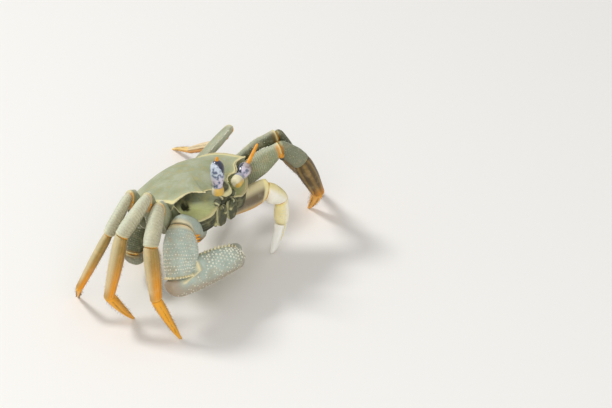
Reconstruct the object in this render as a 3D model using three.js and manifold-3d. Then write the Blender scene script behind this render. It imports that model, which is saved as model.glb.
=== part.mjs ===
// A horned ghost crab, life size, standing on the tips of its eight legs. The right claw
// is the large one and folds across the mouth, the left eyestalk lies in its socket.
// Millimetres, +Z up. The crab faces -Y, its left side is +X and the ground is z = 0.
import * as THREE from 'three';
import { mergeVertices } from 'three/addons/utils/BufferGeometryUtils.js';
import Module from 'manifold-3d';

// Driving dimensions
const carapaceWidth = 42; // across its widest place; body places below are parts of it
const bodyCentre = new THREE.Vector3(-9.6, -11.2, 34.7);
const bodyPitch = 11.4; // degrees, the front held up
const bodyRoll = 1.7; // degrees, the right side held up
const seam = 0.3; // clearance between neighbouring plates
const seatClearance = 0.4; // clearance round a limb that nests in the carapace
const fingerGap = 0.015; // clearance behind a claw finger, in parts of the hand's length
const limbSides = 10;
const arcStep = 0.5; // radians of a rounded joint between one ring and the next

// Colours of the living animal
const palette = {
  shell: 0x93997a, leg: 0x9a9c74, shin: 0xb98f3f, tip: 0xd9a13a,
  claw: 0xaab0a6, paleClaw: 0xd9d4bd, belly: 0x8c7a52, mouth: 0x4c5446,
  stalk: 0xa3a4b4, cornea: 0x1b2236, horn: 0xe08a1c,
};

// Walking legs, first pair to fourth: lengths of merus, carpus, propodus and dactyl, the
// depth and thickness of the merus, and where the hip and the merus start on the body.
const legPairs = [
  { lengths: [0.648, 0.316, 0.481, 0.431], depth: 0.22, thickness: 0.113,
    hip: [0.285, -0.1, -0.24], base: [0.35, -0.1, -0.25] },
  { lengths: [0.772, 0.351, 0.565, 0.458], depth: 0.235, thickness: 0.104,
    hip: [0.285, 0.035, -0.25], base: [0.36, 0.04, -0.27] },
  { lengths: [0.683, 0.361, 0.544, 0.421], depth: 0.225, thickness: 0.1,
    hip: [0.265, 0.155, -0.24], base: [0.335, 0.175, -0.255] },
  { lengths: [0.43, 0.24, 0.338, 0.313], depth: 0.23, thickness: 0.1,
    hip: [0.165, 0.28, -0.25], base: [0.216, 0.318, -0.262] },
];

// Pose of each leg: degrees forward of sideways and degrees above level for merus, carpus
// and propodus, then the heading of the dactyl, whose slope brings its tip to the ground.
// The third left leg is swung back, which carries the start of its merus up and out and
// twists it about its length. A slim leg tapers from its carpus on.
const legPoses = {
  right: [
    { merus: [28, 46], carpus: [21, -43], propodus: [64, -81], dactyl: 126 },
    { merus: [31, 50], carpus: [-16, -43], propodus: [-24, -76], dactyl: -184 },
    { merus: [22, 50], carpus: [-32, -59], propodus: [-34, -60], dactyl: -135, slim: 0.72 },
    { merus: [27, -15], carpus: [-142, -42], propodus: [-157, -20], dactyl: -156, twist: 75, knee: 0.5 },
  ],
  left: [
    { merus: [38.5, 36], carpus: [12, -43], propodus: [7, -62], dactyl: -53, slim: 1.12 },
    { merus: [38.5, 39.5], carpus: [-9, -56], propodus: [0, -51], dactyl: -31, slim: 0.85 },
    { merus: [-5, 10], carpus: [-73, -49], propodus: [-66, -32], dactyl: -64,
      base: [0.36, 0.27, -0.13], twist: 40, slim: 0.6 },
    { merus: [-23, -2], carpus: [-30, -24], propodus: [-39, -54], dactyl: -37, knee: 0.5 },
  ],
};
const kneeShare = 0.3; // how much of the turn at a knee the merus makes, unless the pose says

// Claw arms: lengths of merus, carpus and hand, section sizes, and the headings of the
// three. The hand's upper side leans along handUp. The shares say how much of the turn at
// the elbow and the wrist the nearer segment makes, and wristClear is where the inside of
// a hand that is folded past its wrist starts.
const clawArms = {
  right: {
    base: [0.16, -0.264, -0.33], lengths: [0.455, 0.415, 0.785], merus: [0.23, 0.2], carpus: [0.29, 0.28],
    hand: 0.33, palm: 'largePalm', finger: 'largeFinger', pose: [[14, 33.2], [33, -58], [165, -7]],
    handUp: [0.05, 0.3, 0.95], elbowShare: 0.72, wristShare: 0.14, wristClear: 0.12,
  },
  left: {
    base: [0.13, -0.26, -0.29], lengths: [0.44, 0.225, 0.52], merus: [0.22, 0.15], carpus: [0.165, 0.15],
    hand: 0.185, palm: 'smallPalm', finger: 'smallFinger', pose: [[25, 13], [24, -44], [-168, -78]],
    handUp: [-0.8, -0.1, 0.25], elbowShare: 0.5, wristShare: 0.5,
  },
};

// Profiles along a limb: place from 0 to 1, half height, half thickness, then the bow up
// and the sway outwards of its centre, in parts of depth and thickness, and how many
// degrees the section leans to follow a curved finger.
const profiles = {
  coxa: [[0, 0.26, 0.42], [0.5, 0.28, 0.44], [1, 0.21, 0.36]],
  legMerus: [
    [0, 0.2, 0.32], [0.15, 0.3, 0.4, 0.01], [0.4, 0.45, 0.49, 0.03],
    [0.68, 0.46, 0.5, 0.02], [0.88, 0.34, 0.45], [1, 0.26, 0.41],
  ],
  legCarpus: [[0, 0.26, 0.44], [0.3, 0.31, 0.55, 0.02], [0.75, 0.36, 0.58, 0.02], [1, 0.33, 0.52]],
  legPropodus: [[0, 0.31, 0.5], [0.2, 0.34, 0.56, 0.01], [0.5, 0.32, 0.54, 0.02],
    [0.8, 0.26, 0.46, 0.01], [1, 0.22, 0.4]],
  legDactyl: [[0, 0.2, 0.38], [0.2, 0.19, 0.36, 0.02], [0.5, 0.155, 0.28, 0.04],
    [0.8, 0.1, 0.19, 0.03], [1, 0.05, 0.12]],
  clawMerus: [[0, 0.28, 0.3], [0.3, 0.4, 0.42], [0.7, 0.48, 0.5], [1, 0.42, 0.46]],
  clawCarpus: [[0, 0.34, 0.34], [0.16, 0.44, 0.44], [0.42, 0.52, 0.51], [0.68, 0.49, 0.48],
    [0.87, 0.41, 0.42], [1, 0.33, 0.36]],
  largePalm: [
    [0, 0.42, 0.3], [0.12, 0.46, 0.34], [0.3, 0.46, 0.36, 0.02], [0.5, 0.41, 0.35, 0.06],
    [0.64, 0.35, 0.32, 0.08, -0.01],
    [0.74, 0.28, 0.28, 0.05, -0.06, 12], [0.82, 0.17, 0.22, -0.09, -0.2, 35],
    [0.87, 0.15, 0.18, -0.14, -0.42, 60],
    [0.9, 0.12, 0.14, -0.15, -0.68, 82], [0.895, 0.09, 0.09, -0.13, -0.92, 96],
    [0.87, 0.035, 0.035, -0.1, -1.12, 105],
  ],
  largeFinger: [
    [0.79, 0.16, 0.17, 0.2, -0.12, 28], [0.855, 0.16, 0.17, 0.2, -0.32, 52],
    [0.895, 0.13, 0.14, 0.16, -0.58, 76],
    [0.905, 0.1, 0.11, 0.1, -0.84, 92], [0.885, 0.035, 0.035, 0.02, -1.08, 105],
  ],
  smallPalm: [
    [0, 0.27, 0.26], [0.1, 0.31, 0.3, 0, 0.04], [0.25, 0.34, 0.33, 0, 0.12],
    [0.36, 0.29, 0.29, -0.02, 0.18],
    [0.42, 0.16, 0.2, -0.14, 0.2], [0.6, 0.12, 0.17, -0.14, 0.18], [0.8, 0.1, 0.13, -0.12, 0.09],
    [0.93, 0.07, 0.09, -0.12], [1, 0.035, 0.035, -0.11, -0.06],
  ],
  smallFinger: [
    [0.405, 0.15, 0.24, 0.18, 0.18], [0.6, 0.13, 0.22, 0.14, 0.14], [0.8, 0.1, 0.17, 0.09, 0.05],
    [0.93, 0.07, 0.1, 0.05, -0.03], [1, 0.035, 0.035, 0, -0.08],
  ],
  stalk: [
    [0, 0.65, 0.65], [0.14, 0.98, 0.98], [0.4, 1.04, 1.04], [0.68, 0.98, 0.98], [0.88, 0.84, 0.84],
    [1, 0.83, 0.83],
  ],
  eye: [[0, 0.83, 0.83], [0.14, 0.93, 0.93], [0.34, 1.14, 1.14], [0.62, 1.21, 1.21],
    [0.79, 1.1, 1.1], [0.91, 0.84, 0.84], [1, 0.4, 0.4]],
  horn: [[0, 1.15, 1.15], [0.15, 1, 1], [0.6, 0.82, 0.82], [1, 0.55, 0.55]],
  mouthPlate: [[0, 0.7, 0.75], [0.2, 1, 1], [0.62, 1, 1], [0.85, 0.9, 0.8], [1, 0.7, 0.5]],
};

// Half outlines of the carapace, from the middle of the front round to the middle of the
// back: its upper margin, the crest under the orbits and down the side, and its lower edge.
const margin = [
  [0, -0.51, -0.035], [0.045, -0.5, -0.03], [0.075, -0.47, 0], [0.095, -0.42, 0.045],
  [0.136, -0.393, 0.055], [0.177, -0.397, 0.061], [0.21, -0.43, 0.072], [0.245, -0.41, 0.085],
  [0.285, -0.37, 0.1], [0.335, -0.35, 0.106], [0.41, -0.335, 0.097], [0.487, -0.312, 0.0755],
  [0.487, -0.25, 0.074], [0.497, -0.16, 0.072], [0.505, -0.05, 0.065], [0.495, 0.07, 0.05],
  [0.45, 0.18, 0.02], [0.36, 0.27, -0.015], [0.24, 0.335, -0.04], [0.2, 0.36, -0.05],
  [0.1, 0.365, -0.05], [0, 0.367, -0.05],
];
const crest = [
  [0, -0.435, -0.095], [0.035, -0.435, -0.095], [0.07, -0.435, -0.1], [0.11, -0.445, -0.11],
  [0.157, -0.46, -0.12], [0.2, -0.455, -0.14], [0.235, -0.445, -0.145], [0.31, -0.42, -0.145],
  [0.365, -0.395, -0.12], [0.41, -0.365, -0.08], [0.447, -0.335, -0.02], [0.475, -0.305, 0.045],
  [0.46, -0.25, -0.01], [0.445, -0.16, -0.05], [0.43, -0.05, -0.06], [0.41, 0.07, -0.07],
  [0.375, 0.17, -0.08], [0.305, 0.255, -0.09], [0.22, 0.315, -0.1], [0.18, 0.335, -0.11],
  [0.09, 0.34, -0.11], [0, 0.342, -0.11],
];
const lowerEdge = [
  [0, -0.405, -0.27], [0.04, -0.405, -0.27], [0.08, -0.407, -0.27], [0.125, -0.412, -0.268],
  [0.17, -0.42, -0.265], [0.21, -0.42, -0.265], [0.245, -0.413, -0.268], [0.285, -0.395, -0.268],
  [0.318, -0.37, -0.25], [0.338, -0.345, -0.22], [0.345, -0.32, -0.195], [0.348, -0.29, -0.18],
  [0.345, -0.25, -0.175], [0.335, -0.17, -0.175], [0.325, -0.05, -0.175], [0.315, 0.05, -0.175],
  [0.29, 0.13, -0.175], [0.24, 0.2, -0.175], [0.19, 0.245, -0.175], [0.15, 0.265, -0.175],
  [0.08, 0.28, -0.175], [0, 0.28, -0.175],
];

// Half outline of the sternum block under the carapace
const sternumEdge = [
  [0, -0.345], [0.13, -0.345], [0.19, -0.33], [0.235, -0.285], [0.265, -0.2], [0.265, -0.05],
  [0.255, 0.08], [0.22, 0.17], [0.16, 0.24], [0.08, 0.27], [0, 0.272],
];

const degrees = Math.PI / 180;
const vector = (x, y, z) => new THREE.Vector3(x, y, z);
const bodyTurn = new THREE.Euler(-bodyPitch * degrees, bodyRoll * degrees, 0, 'YXZ');

// A place on the body, in parts of the carapace width, brought into the crab's stance
function onBody(x, y, z) {
  return vector(x, y, z).multiplyScalar(carapaceWidth).applyEuler(bodyTurn).add(bodyCentre);
}

function bodyDirection(x, y, z) {
  return vector(x, y, z).applyEuler(bodyTurn).normalize();
}

function heading(side, azimuth, elevation) {
  const level = Math.cos(elevation * degrees);
  return vector(side * level * Math.cos(azimuth * degrees),
    -level * Math.sin(azimuth * degrees), Math.sin(elevation * degrees));
}

// A closed surface through rings of equal count, with a fan over each end
function loft(rings) {
  const count = rings[0].length;
  const positions = rings.flat().flatMap((p) => [p.x, p.y, p.z]);
  const middles = [rings[0], rings.at(-1)].map((ring) => ring
    .reduce((sum, p) => sum.add(p), vector(0, 0, 0)).divideScalar(count));
  middles.forEach((p) => positions.push(p.x, p.y, p.z));
  const index = [];
  for (let r = 0; r < rings.length - 1; r += 1) {
    for (let k = 0; k < count; k += 1) {
      const next = (k + 1) % count;
      const [a, b, c, d] = [r * count + k, r * count + next, (r + 1) * count + next, (r + 1) * count + k];
      index.push(a, b, c, a, c, d);
    }
  }
  const last = (rings.length - 1) * count;
  for (let k = 0; k < count; k += 1) {
    const next = (k + 1) % count;
    index.push(rings.length * count, next, k, rings.length * count + 1, last + k, last + next);
  }
  const geometry = new THREE.BufferGeometry();
  geometry.setAttribute('position', new THREE.Float32BufferAttribute(positions, 3));
  geometry.setIndex(signedVolume(positions, index) < 0 ? flipped(index) : index);
  return geometry;
}

function signedVolume(positions, index) {
  const corner = (i) => vector(...positions.slice(3 * i, 3 * i + 3));
  let volume = 0;
  for (let i = 0; i < index.length; i += 3) {
    volume += corner(index[i]).dot(corner(index[i + 1]).cross(corner(index[i + 2]))) / 6;
  }
  return volume;
}

function flipped(index) {
  return index.map((v, i) => index[i - (i % 3) + [0, 2, 1][i % 3]]);
}

// A profile's row at any place, in a straight line between the rows on either side
function rowAt(profile, place) {
  const i = Math.min(profile.findLastIndex(([from]) => from <= place), profile.length - 2);
  const share = (place - profile[i][0]) / (profile[i + 1][0] - profile[i][0]);
  return [0, 1, 2, 3, 4, 5].map((k) => {
    const [from, to] = [profile[i][k] ?? 0, profile[i + 1][k] ?? 0];
    return from + (to - from) * share;
  });
}

// The profile's rows, with more of them where its ends run round a bent joint
function rowsRound(profile, length, depth, startBend, endBend) {
  const rows = [...profile];
  const addArc = (angle, halfHeight, placeAt) => {
    const share = (depth * halfHeight * angle) / length;
    const count = Math.round(angle / arcStep);
    for (let k = 1; k <= count; k += 1) {
      const place = placeAt((share / (1 + share)) * (k / count));
      if (profile.some(([other]) => Math.abs(other - place) < 0.03)) continue;
      rows.splice(rows.findIndex(([other]) => other > place), 0, rowAt(profile, place));
    }
  };
  if (startBend) addArc(startBend.angles[1], profile[0][1], (share) => share);
  if (endBend) addArc(endBend.angles[0], profile.at(-1)[1], (share) => 1 - share);
  return rows;
}

// A limb segment from a to b. On the outside of a bend it runs on round the joint, and on
// the inside it stops at the joint's plane, half a seam short of its neighbour.
function limb({
  a, b, up, profile, depth, thickness, startBend, endBend,
  footed = false, power = 2.3, swaySide = 1, spare = 0,
}) {
  const length = a.distanceTo(b);
  const along = b.clone().sub(a).divideScalar(length);
  const rise = up.clone().addScaledVector(along, -up.dot(along)).normalize();
  const out = along.clone().cross(rise);
  const startOut = startBend && carried(startBend.before, along);
  const endOut = endBend && carried(endBend.after, along).negate();
  const rounded = (value) => Math.sign(value) * Math.abs(value) ** (2 / power);
  const reach = (height, angle, clear = Infinity) => {
    const gap = seam / 2 / Math.max(Math.cos(angle), 0.5);
    if (height >= 0) return height * angle - gap;
    return Math.max(height * Math.tan(Math.min(angle, 1.35)) - gap, -clear);
  };
  const roundJoint = (joint, offset, outward, forward, past) => {
    const height = offset.dot(outward);
    if (height <= 0) return joint.clone().add(offset).addScaledVector(forward, past);
    return joint.clone().add(offset)
      .addScaledVector(outward, height * (Math.cos(past / height) - 1))
      .addScaledVector(forward, height * Math.sin(past / height));
  };
  const rows = rowsRound(profile, length, depth, startBend, endBend);
  return loft(rows.map(([place, halfHeight, halfThickness, bow = 0, sway = 0, lean = 0]) => {
    const across = out.clone().multiplyScalar(Math.cos(lean * degrees))
      .addScaledVector(along, swaySide * Math.sin(lean * degrees));
    const ring = [];
    for (let k = 0; k < limbSides; k += 1) {
      const angle = (2 * Math.PI * k) / limbSides;
      const offset = rise.clone().multiplyScalar(depth * bow)
        .addScaledVector(out, thickness * swaySide * sway)
        .addScaledVector(rise, (depth * halfHeight + spare) * rounded(Math.cos(angle)))
        .addScaledVector(across, (thickness * halfThickness + spare) * rounded(Math.sin(angle)));
      const first = startBend ? -reach(offset.dot(startOut), startBend.angles[1], startBend.clear) : 0;
      let final = endBend ? length + reach(offset.dot(endOut), endBend.angles[0]) : length;
      if (footed) final = -(a.z + offset.z) / along.z;
      const reached = first + place * (final - first);
      if (endBend && reached > length) ring.push(roundJoint(b, offset, endOut, along, reached - length));
      else if (startBend && reached < 0) {
        ring.push(roundJoint(a, offset, startOut, along.clone().negate(), -reached));
      } else ring.push(a.clone().add(offset).addScaledVector(along, reached));
    }
    return ring;
  }));
}

// A joint between two segments, of which the first makes the given share of the turn
function bend(before, after, share = 0.5, clear = undefined) {
  const angle = before.angleTo(after);
  return { before, after, clear, angles: [angle * share, angle * (1 - share)] };
}

// The part of a direction that lies across a limb
function carried(normal, along) {
  return normal.clone().addScaledVector(along, -normal.dot(along)).normalize();
}

const wasm = await Module();
wasm.setup();

function asSolid(geometry) {
  const bare = mergeVertices(geometry.clone());
  return new wasm.Manifold(new wasm.Mesh({
    numProp: 3,
    vertProperties: new Float32Array(bare.attributes.position.array),
    triVerts: new Uint32Array(bare.index.array),
  }));
}

function asGeometry(solid) {
  const { vertProperties, triVerts } = solid.getMesh();
  const geometry = new THREE.BufferGeometry();
  geometry.setAttribute('position', new THREE.BufferAttribute(new Float32Array(vertProperties), 3));
  geometry.setIndex(new THREE.BufferAttribute(new Uint32Array(triVerts), 1));
  return geometry;
}

// The main body of a cut solid, without the crumbs that a cut leaves where two skins graze
function largest(solid) {
  return solid.decompose().reduce((one, other) => (one.volume() > other.volume() ? one : other));
}

const crab = new THREE.Group();

function addPiece(name, geometry, colour, roughness = 0.6) {
  geometry.computeVertexNormals();
  const material = new THREE.MeshStandardMaterial({ color: colour, roughness, metalness: 0 });
  const mesh = new THREE.Mesh(geometry, material);
  mesh.name = name;
  crab.add(mesh);
}

// The whole ring of a half outline, mirrored, starting at the middle of the front
function wholeRing(half) {
  const mirrored = half.slice(1, -1).reverse().map(([x, ...rest]) => [-x, ...rest]);
  return [...half, ...mirrored];
}

const sides = [['right', -1], ['left', 1]];

// Eyestalks stand on a bulb beside the front; the eye is the stalk's outer part and the
// horn is its drawn-out tip. The right horn is a worn stub.
const eyeParts = {
  right: { base: [-0.107, -0.479, 0.012], tip: [-0.1, -0.525, 0.33], hornTip: [-0.097, -0.53, 0.358],
    stalkShare: 0.25 },
  left: { base: [0.131, -0.474, 0.001], tip: [0.38, -0.42, 0.062], hornTip: [0.53, -0.445, 0.2],
    stalkShare: 0.45 },
};
const stalkRadius = 0.05;
const hornRadius = 0.018;

function eyeGeometry({ base, tip, hornTip, stalkShare }) {
  const [root, end, point] = [base, tip, hornTip].map((place) => onBody(...place));
  const split = root.clone().lerp(end, stalkShare);
  const gap = end.clone().sub(root).setLength(seam);
  const hornGap = point.clone().sub(end).setLength(2 * seam); // it leaves the eye at a slant
  const up = bodyDirection(0, 1, 0.4);
  const piece = (a, b, profile, size) => limb({
    a, b, up, profile, depth: size * carapaceWidth, thickness: size * carapaceWidth, power: 2,
  });
  return {
    eyestalk: piece(root, split, profiles.stalk, stalkRadius),
    eye: piece(split.clone().add(gap), end, profiles.eye, stalkRadius),
    horn: piece(end.clone().add(hornGap), point, profiles.horn, hornRadius),
  };
}

// Claw arms, from the base to the joints of merus, carpus and palm
function clawSegments(sideName, side) {
  const arm = clawArms[sideName];
  const [x, y, z] = arm.base;
  const joints = [onBody(side * x, y, z)];
  const headings = arm.pose.map(([azimuth, elevation]) => heading(side, azimuth, elevation));
  headings.forEach((along, i) => {
    joints.push(joints[i].clone().addScaledVector(along, arm.lengths[i] * carapaceWidth));
  });
  const clear = arm.wristClear && arm.wristClear * carapaceWidth;
  const elbow = bend(headings[0], headings[1], arm.elbowShare);
  const wrist = bend(headings[1], headings[2], arm.wristShare, clear);
  const out = headings[0].clone().cross(vector(0, 0, 1)).normalize();
  const handSize = arm.hand * carapaceWidth;
  const segment = (i, profile, [depth, thickness], startBend, endBend, spare = 0) => limb({
    a: joints[i], b: joints[i + 1], profile,
    up: carried(out, headings[i]).cross(headings[i]),
    depth: depth * carapaceWidth, thickness: thickness * carapaceWidth, startBend, endBend, spare,
  });
  const hand = (profile, startBend, spare = 0) => limb({
    a: joints[2], b: joints[3], profile, up: vector(...arm.handUp),
    depth: handSize, thickness: handSize, startBend, swaySide: -side, spare,
  });
  const [[fingerStart, ...fingerRow], ...fingerRest] = profiles[arm.finger];
  const fingerRoom = [[fingerStart - fingerGap, ...fingerRow], [fingerStart, ...fingerRow], ...fingerRest];
  return {
    merus: segment(0, profiles.clawMerus, arm.merus, undefined, elbow),
    seat: segment(0, profiles.clawMerus, arm.merus, undefined, elbow, seatClearance),
    carpus: segment(1, profiles.clawCarpus, arm.carpus, elbow, wrist),
    palm: hand(profiles[arm.palm], wrist),
    finger: hand(profiles[arm.finger]),
    palmRoom: [
      hand(fingerRoom, undefined, seam),
      segment(1, profiles.clawCarpus, arm.carpus, elbow, wrist, seam),
    ],
  };
}

// One walking leg, hip to tip. The dactyl's slope follows from the height left below it.
function legSegments(pairIndex, sideName, side) {
  const { lengths, depth, thickness, hip } = legPairs[pairIndex];
  const pose = legPoses[sideName][pairIndex];
  const base = pose.base ?? legPairs[pairIndex].base;
  const joints = [onBody(side * hip[0], hip[1], hip[2]), onBody(side * base[0], base[1], base[2])];
  const headings = [joints[1].clone().sub(joints[0]).normalize()];
  [pose.merus, pose.carpus, pose.propodus].forEach((angles, i) => {
    headings.push(heading(side, ...angles));
    joints.push(joints[i + 1].clone().addScaledVector(headings[i + 1], lengths[i] * carapaceWidth));
  });
  const dactylLength = lengths[3] * carapaceWidth;
  const slope = -Math.asin(joints[4].z / dactylLength) / degrees;
  headings.push(heading(side, pose.dactyl, slope));
  joints.push(joints[4].clone().addScaledVector(headings[4], dactylLength));
  const out = headings[1].clone().cross(vector(0, 0, 1)).normalize()
    .applyAxisAngle(headings[1], (pose.twist ?? 0) * degrees);
  const segmentProfiles = ['coxa', 'legMerus', 'legCarpus', 'legPropodus', 'legDactyl'];
  const segment = (i, spare = 0) => {
    const bendAt = (j) => (j > 0 && j < 5
      ? bend(headings[j - 1], headings[j], j === 2 ? pose.knee ?? kneeShare : 0.5) : undefined);
    const slim = [1, 1, (1 + (pose.slim ?? 1)) / 2, pose.slim ?? 1, pose.slim ?? 1][i];
    return limb({
      a: joints[i], b: joints[i + 1], profile: profiles[segmentProfiles[i]],
      up: carried(out, headings[i]).cross(headings[i]),
      depth: depth * slim * carapaceWidth, thickness: thickness * slim * carapaceWidth,
      startBend: bendAt(i), endBend: bendAt(i + 1), footed: i === 4, spare,
    });
  };
  return {
    coxa: segment(0), merus: segment(1), carpus: segment(2), propodus: segment(3), dactyl: segment(4),
    seats: [segment(0, seatClearance), segment(1, seatClearance)],
  };
}

// Carapace: dome, margin, crest and lower edge in rings, then the orbits and the seats of
// the limbs that nest against it are cut away. The inner rings of the dome run on ovals
// whose directions turn steadily, so that the notched margin doesn't fold them.
const domeTop = 0.155;
const domeCentreY = -0.06;
const domeRings = [0.3, 0.55, 0.75, 0.9];
const domeFall = 2.3;
const domeOval = [0.46, 0.41];
const leastTurn = 2.5; // degrees between neighbouring directions
const apronSpread = [0.94, 0.9]; // the inside of the lower edge, at its foot and at its top
const roofLevel = -0.178;

// One orbit opens a lip's width inside the margin and the crest and narrows inwards
const orbitLip = 0.02;
const orbitCentre = [0.27, -0.24, -0.02];
const orbitOpening = [
  ...margin.slice(3, 10).map(([x, y, z]) => [x, y, z - orbitLip]),
  ...crest.slice(4, 11).reverse().map(([x, y, z]) => [x, y, z + orbitLip]),
];

function domeDirections() {
  const turns = margin.map(([x, y]) => Math.atan2(x, domeCentreY - y) / degrees);
  for (let i = 1; i < turns.length; i += 1) turns[i] = Math.max(turns[i], turns[i - 1] + leastTurn);
  const spread = 180 / turns.at(-1);
  return turns.map((turn) => turn * spread * degrees);
}

function carapaceBlock() {
  const turns = domeDirections();
  const dome = domeRings.map((r) => {
    const hold = r ** 4; // how closely this ring keeps to the margin's own outline
    const half = margin.map(([x, y, z], i) => {
      const [ovalX, ovalY] = [domeOval[0] * Math.sin(turns[i]), -domeOval[1] * Math.cos(turns[i])];
      return [
        r * (ovalX + (x - ovalX) * hold),
        domeCentreY + r * (ovalY + (y - domeCentreY - ovalY) * hold),
        domeTop + (z - domeTop) * r ** domeFall,
      ];
    });
    return wholeRing(half);
  });
  const under = ([x, y, z], spread) => [x * spread, (y + 0.05) * spread - 0.05, z];
  const apron = lowerEdge.map((place) => under(place, apronSpread[0]));
  const roof = lowerEdge.map(([x, y]) => under([x, y, roofLevel], apronSpread[1]));
  return loft([...dome, ...[margin, crest, lowerEdge, apron, roof].map(wholeRing)]
    .map((ring) => ring.map((place) => onBody(...place))));
}

function orbitCutter(side) {
  const [cx, cy, cz] = orbitCentre;
  const ring = (share, back, spread) => orbitOpening.map(([x, y, z]) => onBody(
    side * (cx + (x - cx) * spread), y + (cy - y) * share + back, cz + (z - cz) * spread));
  return loft([
    ring(0, -0.14, 1), ring(0, -0.03, 1), ring(0, 0, 1), ring(0.75, 0, 0.8), ring(1, 0.05, 0.45),
  ]);
}

// Sternum: the block under the carapace that carries the legs
const sternumLevels = [[-0.184, 1], [-0.25, 0.97], [-0.3, 0.82]];

function sternum() {
  return loft(sternumLevels.map(([z, spread]) => wholeRing(sternumEdge)
    .map(([x, y]) => onBody(x * spread, (y + 0.05) * spread - 0.05, z))));
}

// Abdomen: a narrow plate folded from the back of the body forward under the sternum
const abdomenPath = [
  [0.345, -0.2, 0.11], [0.33, -0.26, 0.105], [0.28, -0.32, 0.095],
  [0.16, -0.342, 0.08], [0.02, -0.342, 0.055], [-0.12, -0.335, 0.03],
];
const abdomenHalfThickness = 0.016;

function abdomen() {
  return loft(abdomenPath.map(([y, z, halfWidth], i) => {
    const [y0, z0] = abdomenPath[Math.max(i - 1, 0)];
    const [y1, z1] = abdomenPath[Math.min(i + 1, abdomenPath.length - 1)];
    const length = Math.hypot(y1 - y0, z1 - z0);
    const [ny, nz] = [-(z1 - z0) / length, (y1 - y0) / length];
    return [[-1, -0.6], [-0.6, -1], [0.6, -1], [1, -0.6], [1, 0.6], [0.6, 1], [-0.6, 1], [-1, 0.6]]
      .map(([across, depth]) => onBody(across * halfWidth,
        y + ny * depth * abdomenHalfThickness, z + nz * depth * abdomenHalfThickness));
  }));
}

// Outer mouthparts: a pair of plates that close the mouth
function mouthPlate(side, spare = 0) {
  return limb({
    a: onBody(side * 0.073, -0.452, -0.118), b: onBody(side * 0.068, -0.43, -0.292),
    up: bodyDirection(0, -1, 0), profile: profiles.mouthPlate,
    depth: 0.022 * carapaceWidth, thickness: 0.066 * carapaceWidth, power: 3, spare,
  });
}

let shell = asSolid(carapaceBlock());
let belly = asSolid(sternum());
const seat = (geometry) => {
  shell = shell.subtract(asSolid(geometry));
  belly = belly.subtract(asSolid(geometry));
};
sides.forEach(([sideName, side]) => {
  shell = shell.subtract(asSolid(orbitCutter(side)));
  const claw = clawSegments(sideName, side);
  claw.palm = asGeometry(largest(claw.palmRoom.reduce((palm, room) => palm.subtract(asSolid(room)),
    asSolid(claw.palm))));
  const { eyestalk, eye, horn } = eyeGeometry(eyeParts[sideName]);
  [claw.seat, mouthPlate(side, seatClearance)].forEach(seat);
  addPiece(`${sideName}_eyestalk`, eyestalk, palette.stalk, 0.45);
  addPiece(`${sideName}_eye`, eye, palette.cornea, 0.15);
  addPiece(`${sideName}_horn`, horn, palette.horn, 0.45);
  addPiece(`${sideName}_mouth_plate`, mouthPlate(side), palette.mouth);
  const clawColour = sideName === 'right' ? palette.claw : palette.paleClaw;
  ['merus', 'carpus', 'palm', 'finger'].forEach((part) => {
    addPiece(`${sideName}_claw_${part}`, claw[part], clawColour);
  });
  legPairs.forEach((pair, i) => {
    const leg = legSegments(i, sideName, side);
    leg.seats.forEach(seat);
    addPiece(`${sideName}_leg_${i + 1}_coxa`, leg.coxa, palette.belly);
    addPiece(`${sideName}_leg_${i + 1}_merus`, leg.merus, palette.leg);
    addPiece(`${sideName}_leg_${i + 1}_carpus`, leg.carpus, palette.leg);
    addPiece(`${sideName}_leg_${i + 1}_propodus`, leg.propodus, palette.shin);
    addPiece(`${sideName}_leg_${i + 1}_dactyl`, leg.dactyl, palette.tip);
  });
});
addPiece('carapace', asGeometry(shell), palette.shell);
addPiece('sternum', asGeometry(belly), palette.belly);
addPiece('abdomen', abdomen(), palette.belly);

export default crab;
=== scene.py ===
import math
import random
import bpy
from mathutils import Matrix, Quaternion, Vector


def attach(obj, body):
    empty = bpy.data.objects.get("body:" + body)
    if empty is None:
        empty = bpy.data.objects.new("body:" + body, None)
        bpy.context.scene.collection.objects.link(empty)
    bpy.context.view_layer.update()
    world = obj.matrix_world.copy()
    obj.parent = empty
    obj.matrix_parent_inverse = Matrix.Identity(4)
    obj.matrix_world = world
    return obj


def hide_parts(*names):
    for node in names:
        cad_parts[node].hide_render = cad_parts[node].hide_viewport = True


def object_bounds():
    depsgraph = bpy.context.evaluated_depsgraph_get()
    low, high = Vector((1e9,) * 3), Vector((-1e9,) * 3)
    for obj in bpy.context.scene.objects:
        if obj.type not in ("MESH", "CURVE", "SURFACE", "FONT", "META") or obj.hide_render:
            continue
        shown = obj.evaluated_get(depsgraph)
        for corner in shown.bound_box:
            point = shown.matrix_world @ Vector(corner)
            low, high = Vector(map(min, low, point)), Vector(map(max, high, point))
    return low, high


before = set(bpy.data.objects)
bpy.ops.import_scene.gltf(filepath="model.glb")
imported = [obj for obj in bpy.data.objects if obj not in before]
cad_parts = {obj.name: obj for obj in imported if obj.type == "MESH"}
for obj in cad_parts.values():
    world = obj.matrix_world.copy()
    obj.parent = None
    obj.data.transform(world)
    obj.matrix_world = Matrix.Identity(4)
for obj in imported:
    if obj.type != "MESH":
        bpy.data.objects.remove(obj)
cadBounds = [list(corner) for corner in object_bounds()]
scene = bpy.context.scene
mm = 0.001

# A horned ghost crab on the tips of its legs. It faces -Y and its left side is +X. Places on
# the body are in parts of the carapace width, in the stance that the pitch and roll give.
body = {
    "width": 42 * mm,
    "centre": Vector((-9.6, -11.2, 34.7)) * mm,
    "pitch": 11.4,  # degrees, front held up
    "roll": 1.7,  # degrees, right side held up
    "seam": 0.3 * mm,  # gap between neighbouring plates
}
width = body["width"]
bodyTurn = (Matrix.Rotation(math.radians(body["roll"]), 3, "Y")
            @ Matrix.Rotation(math.radians(-body["pitch"]), 3, "X"))
sides = (("right", -1), ("left", 1))


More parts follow.
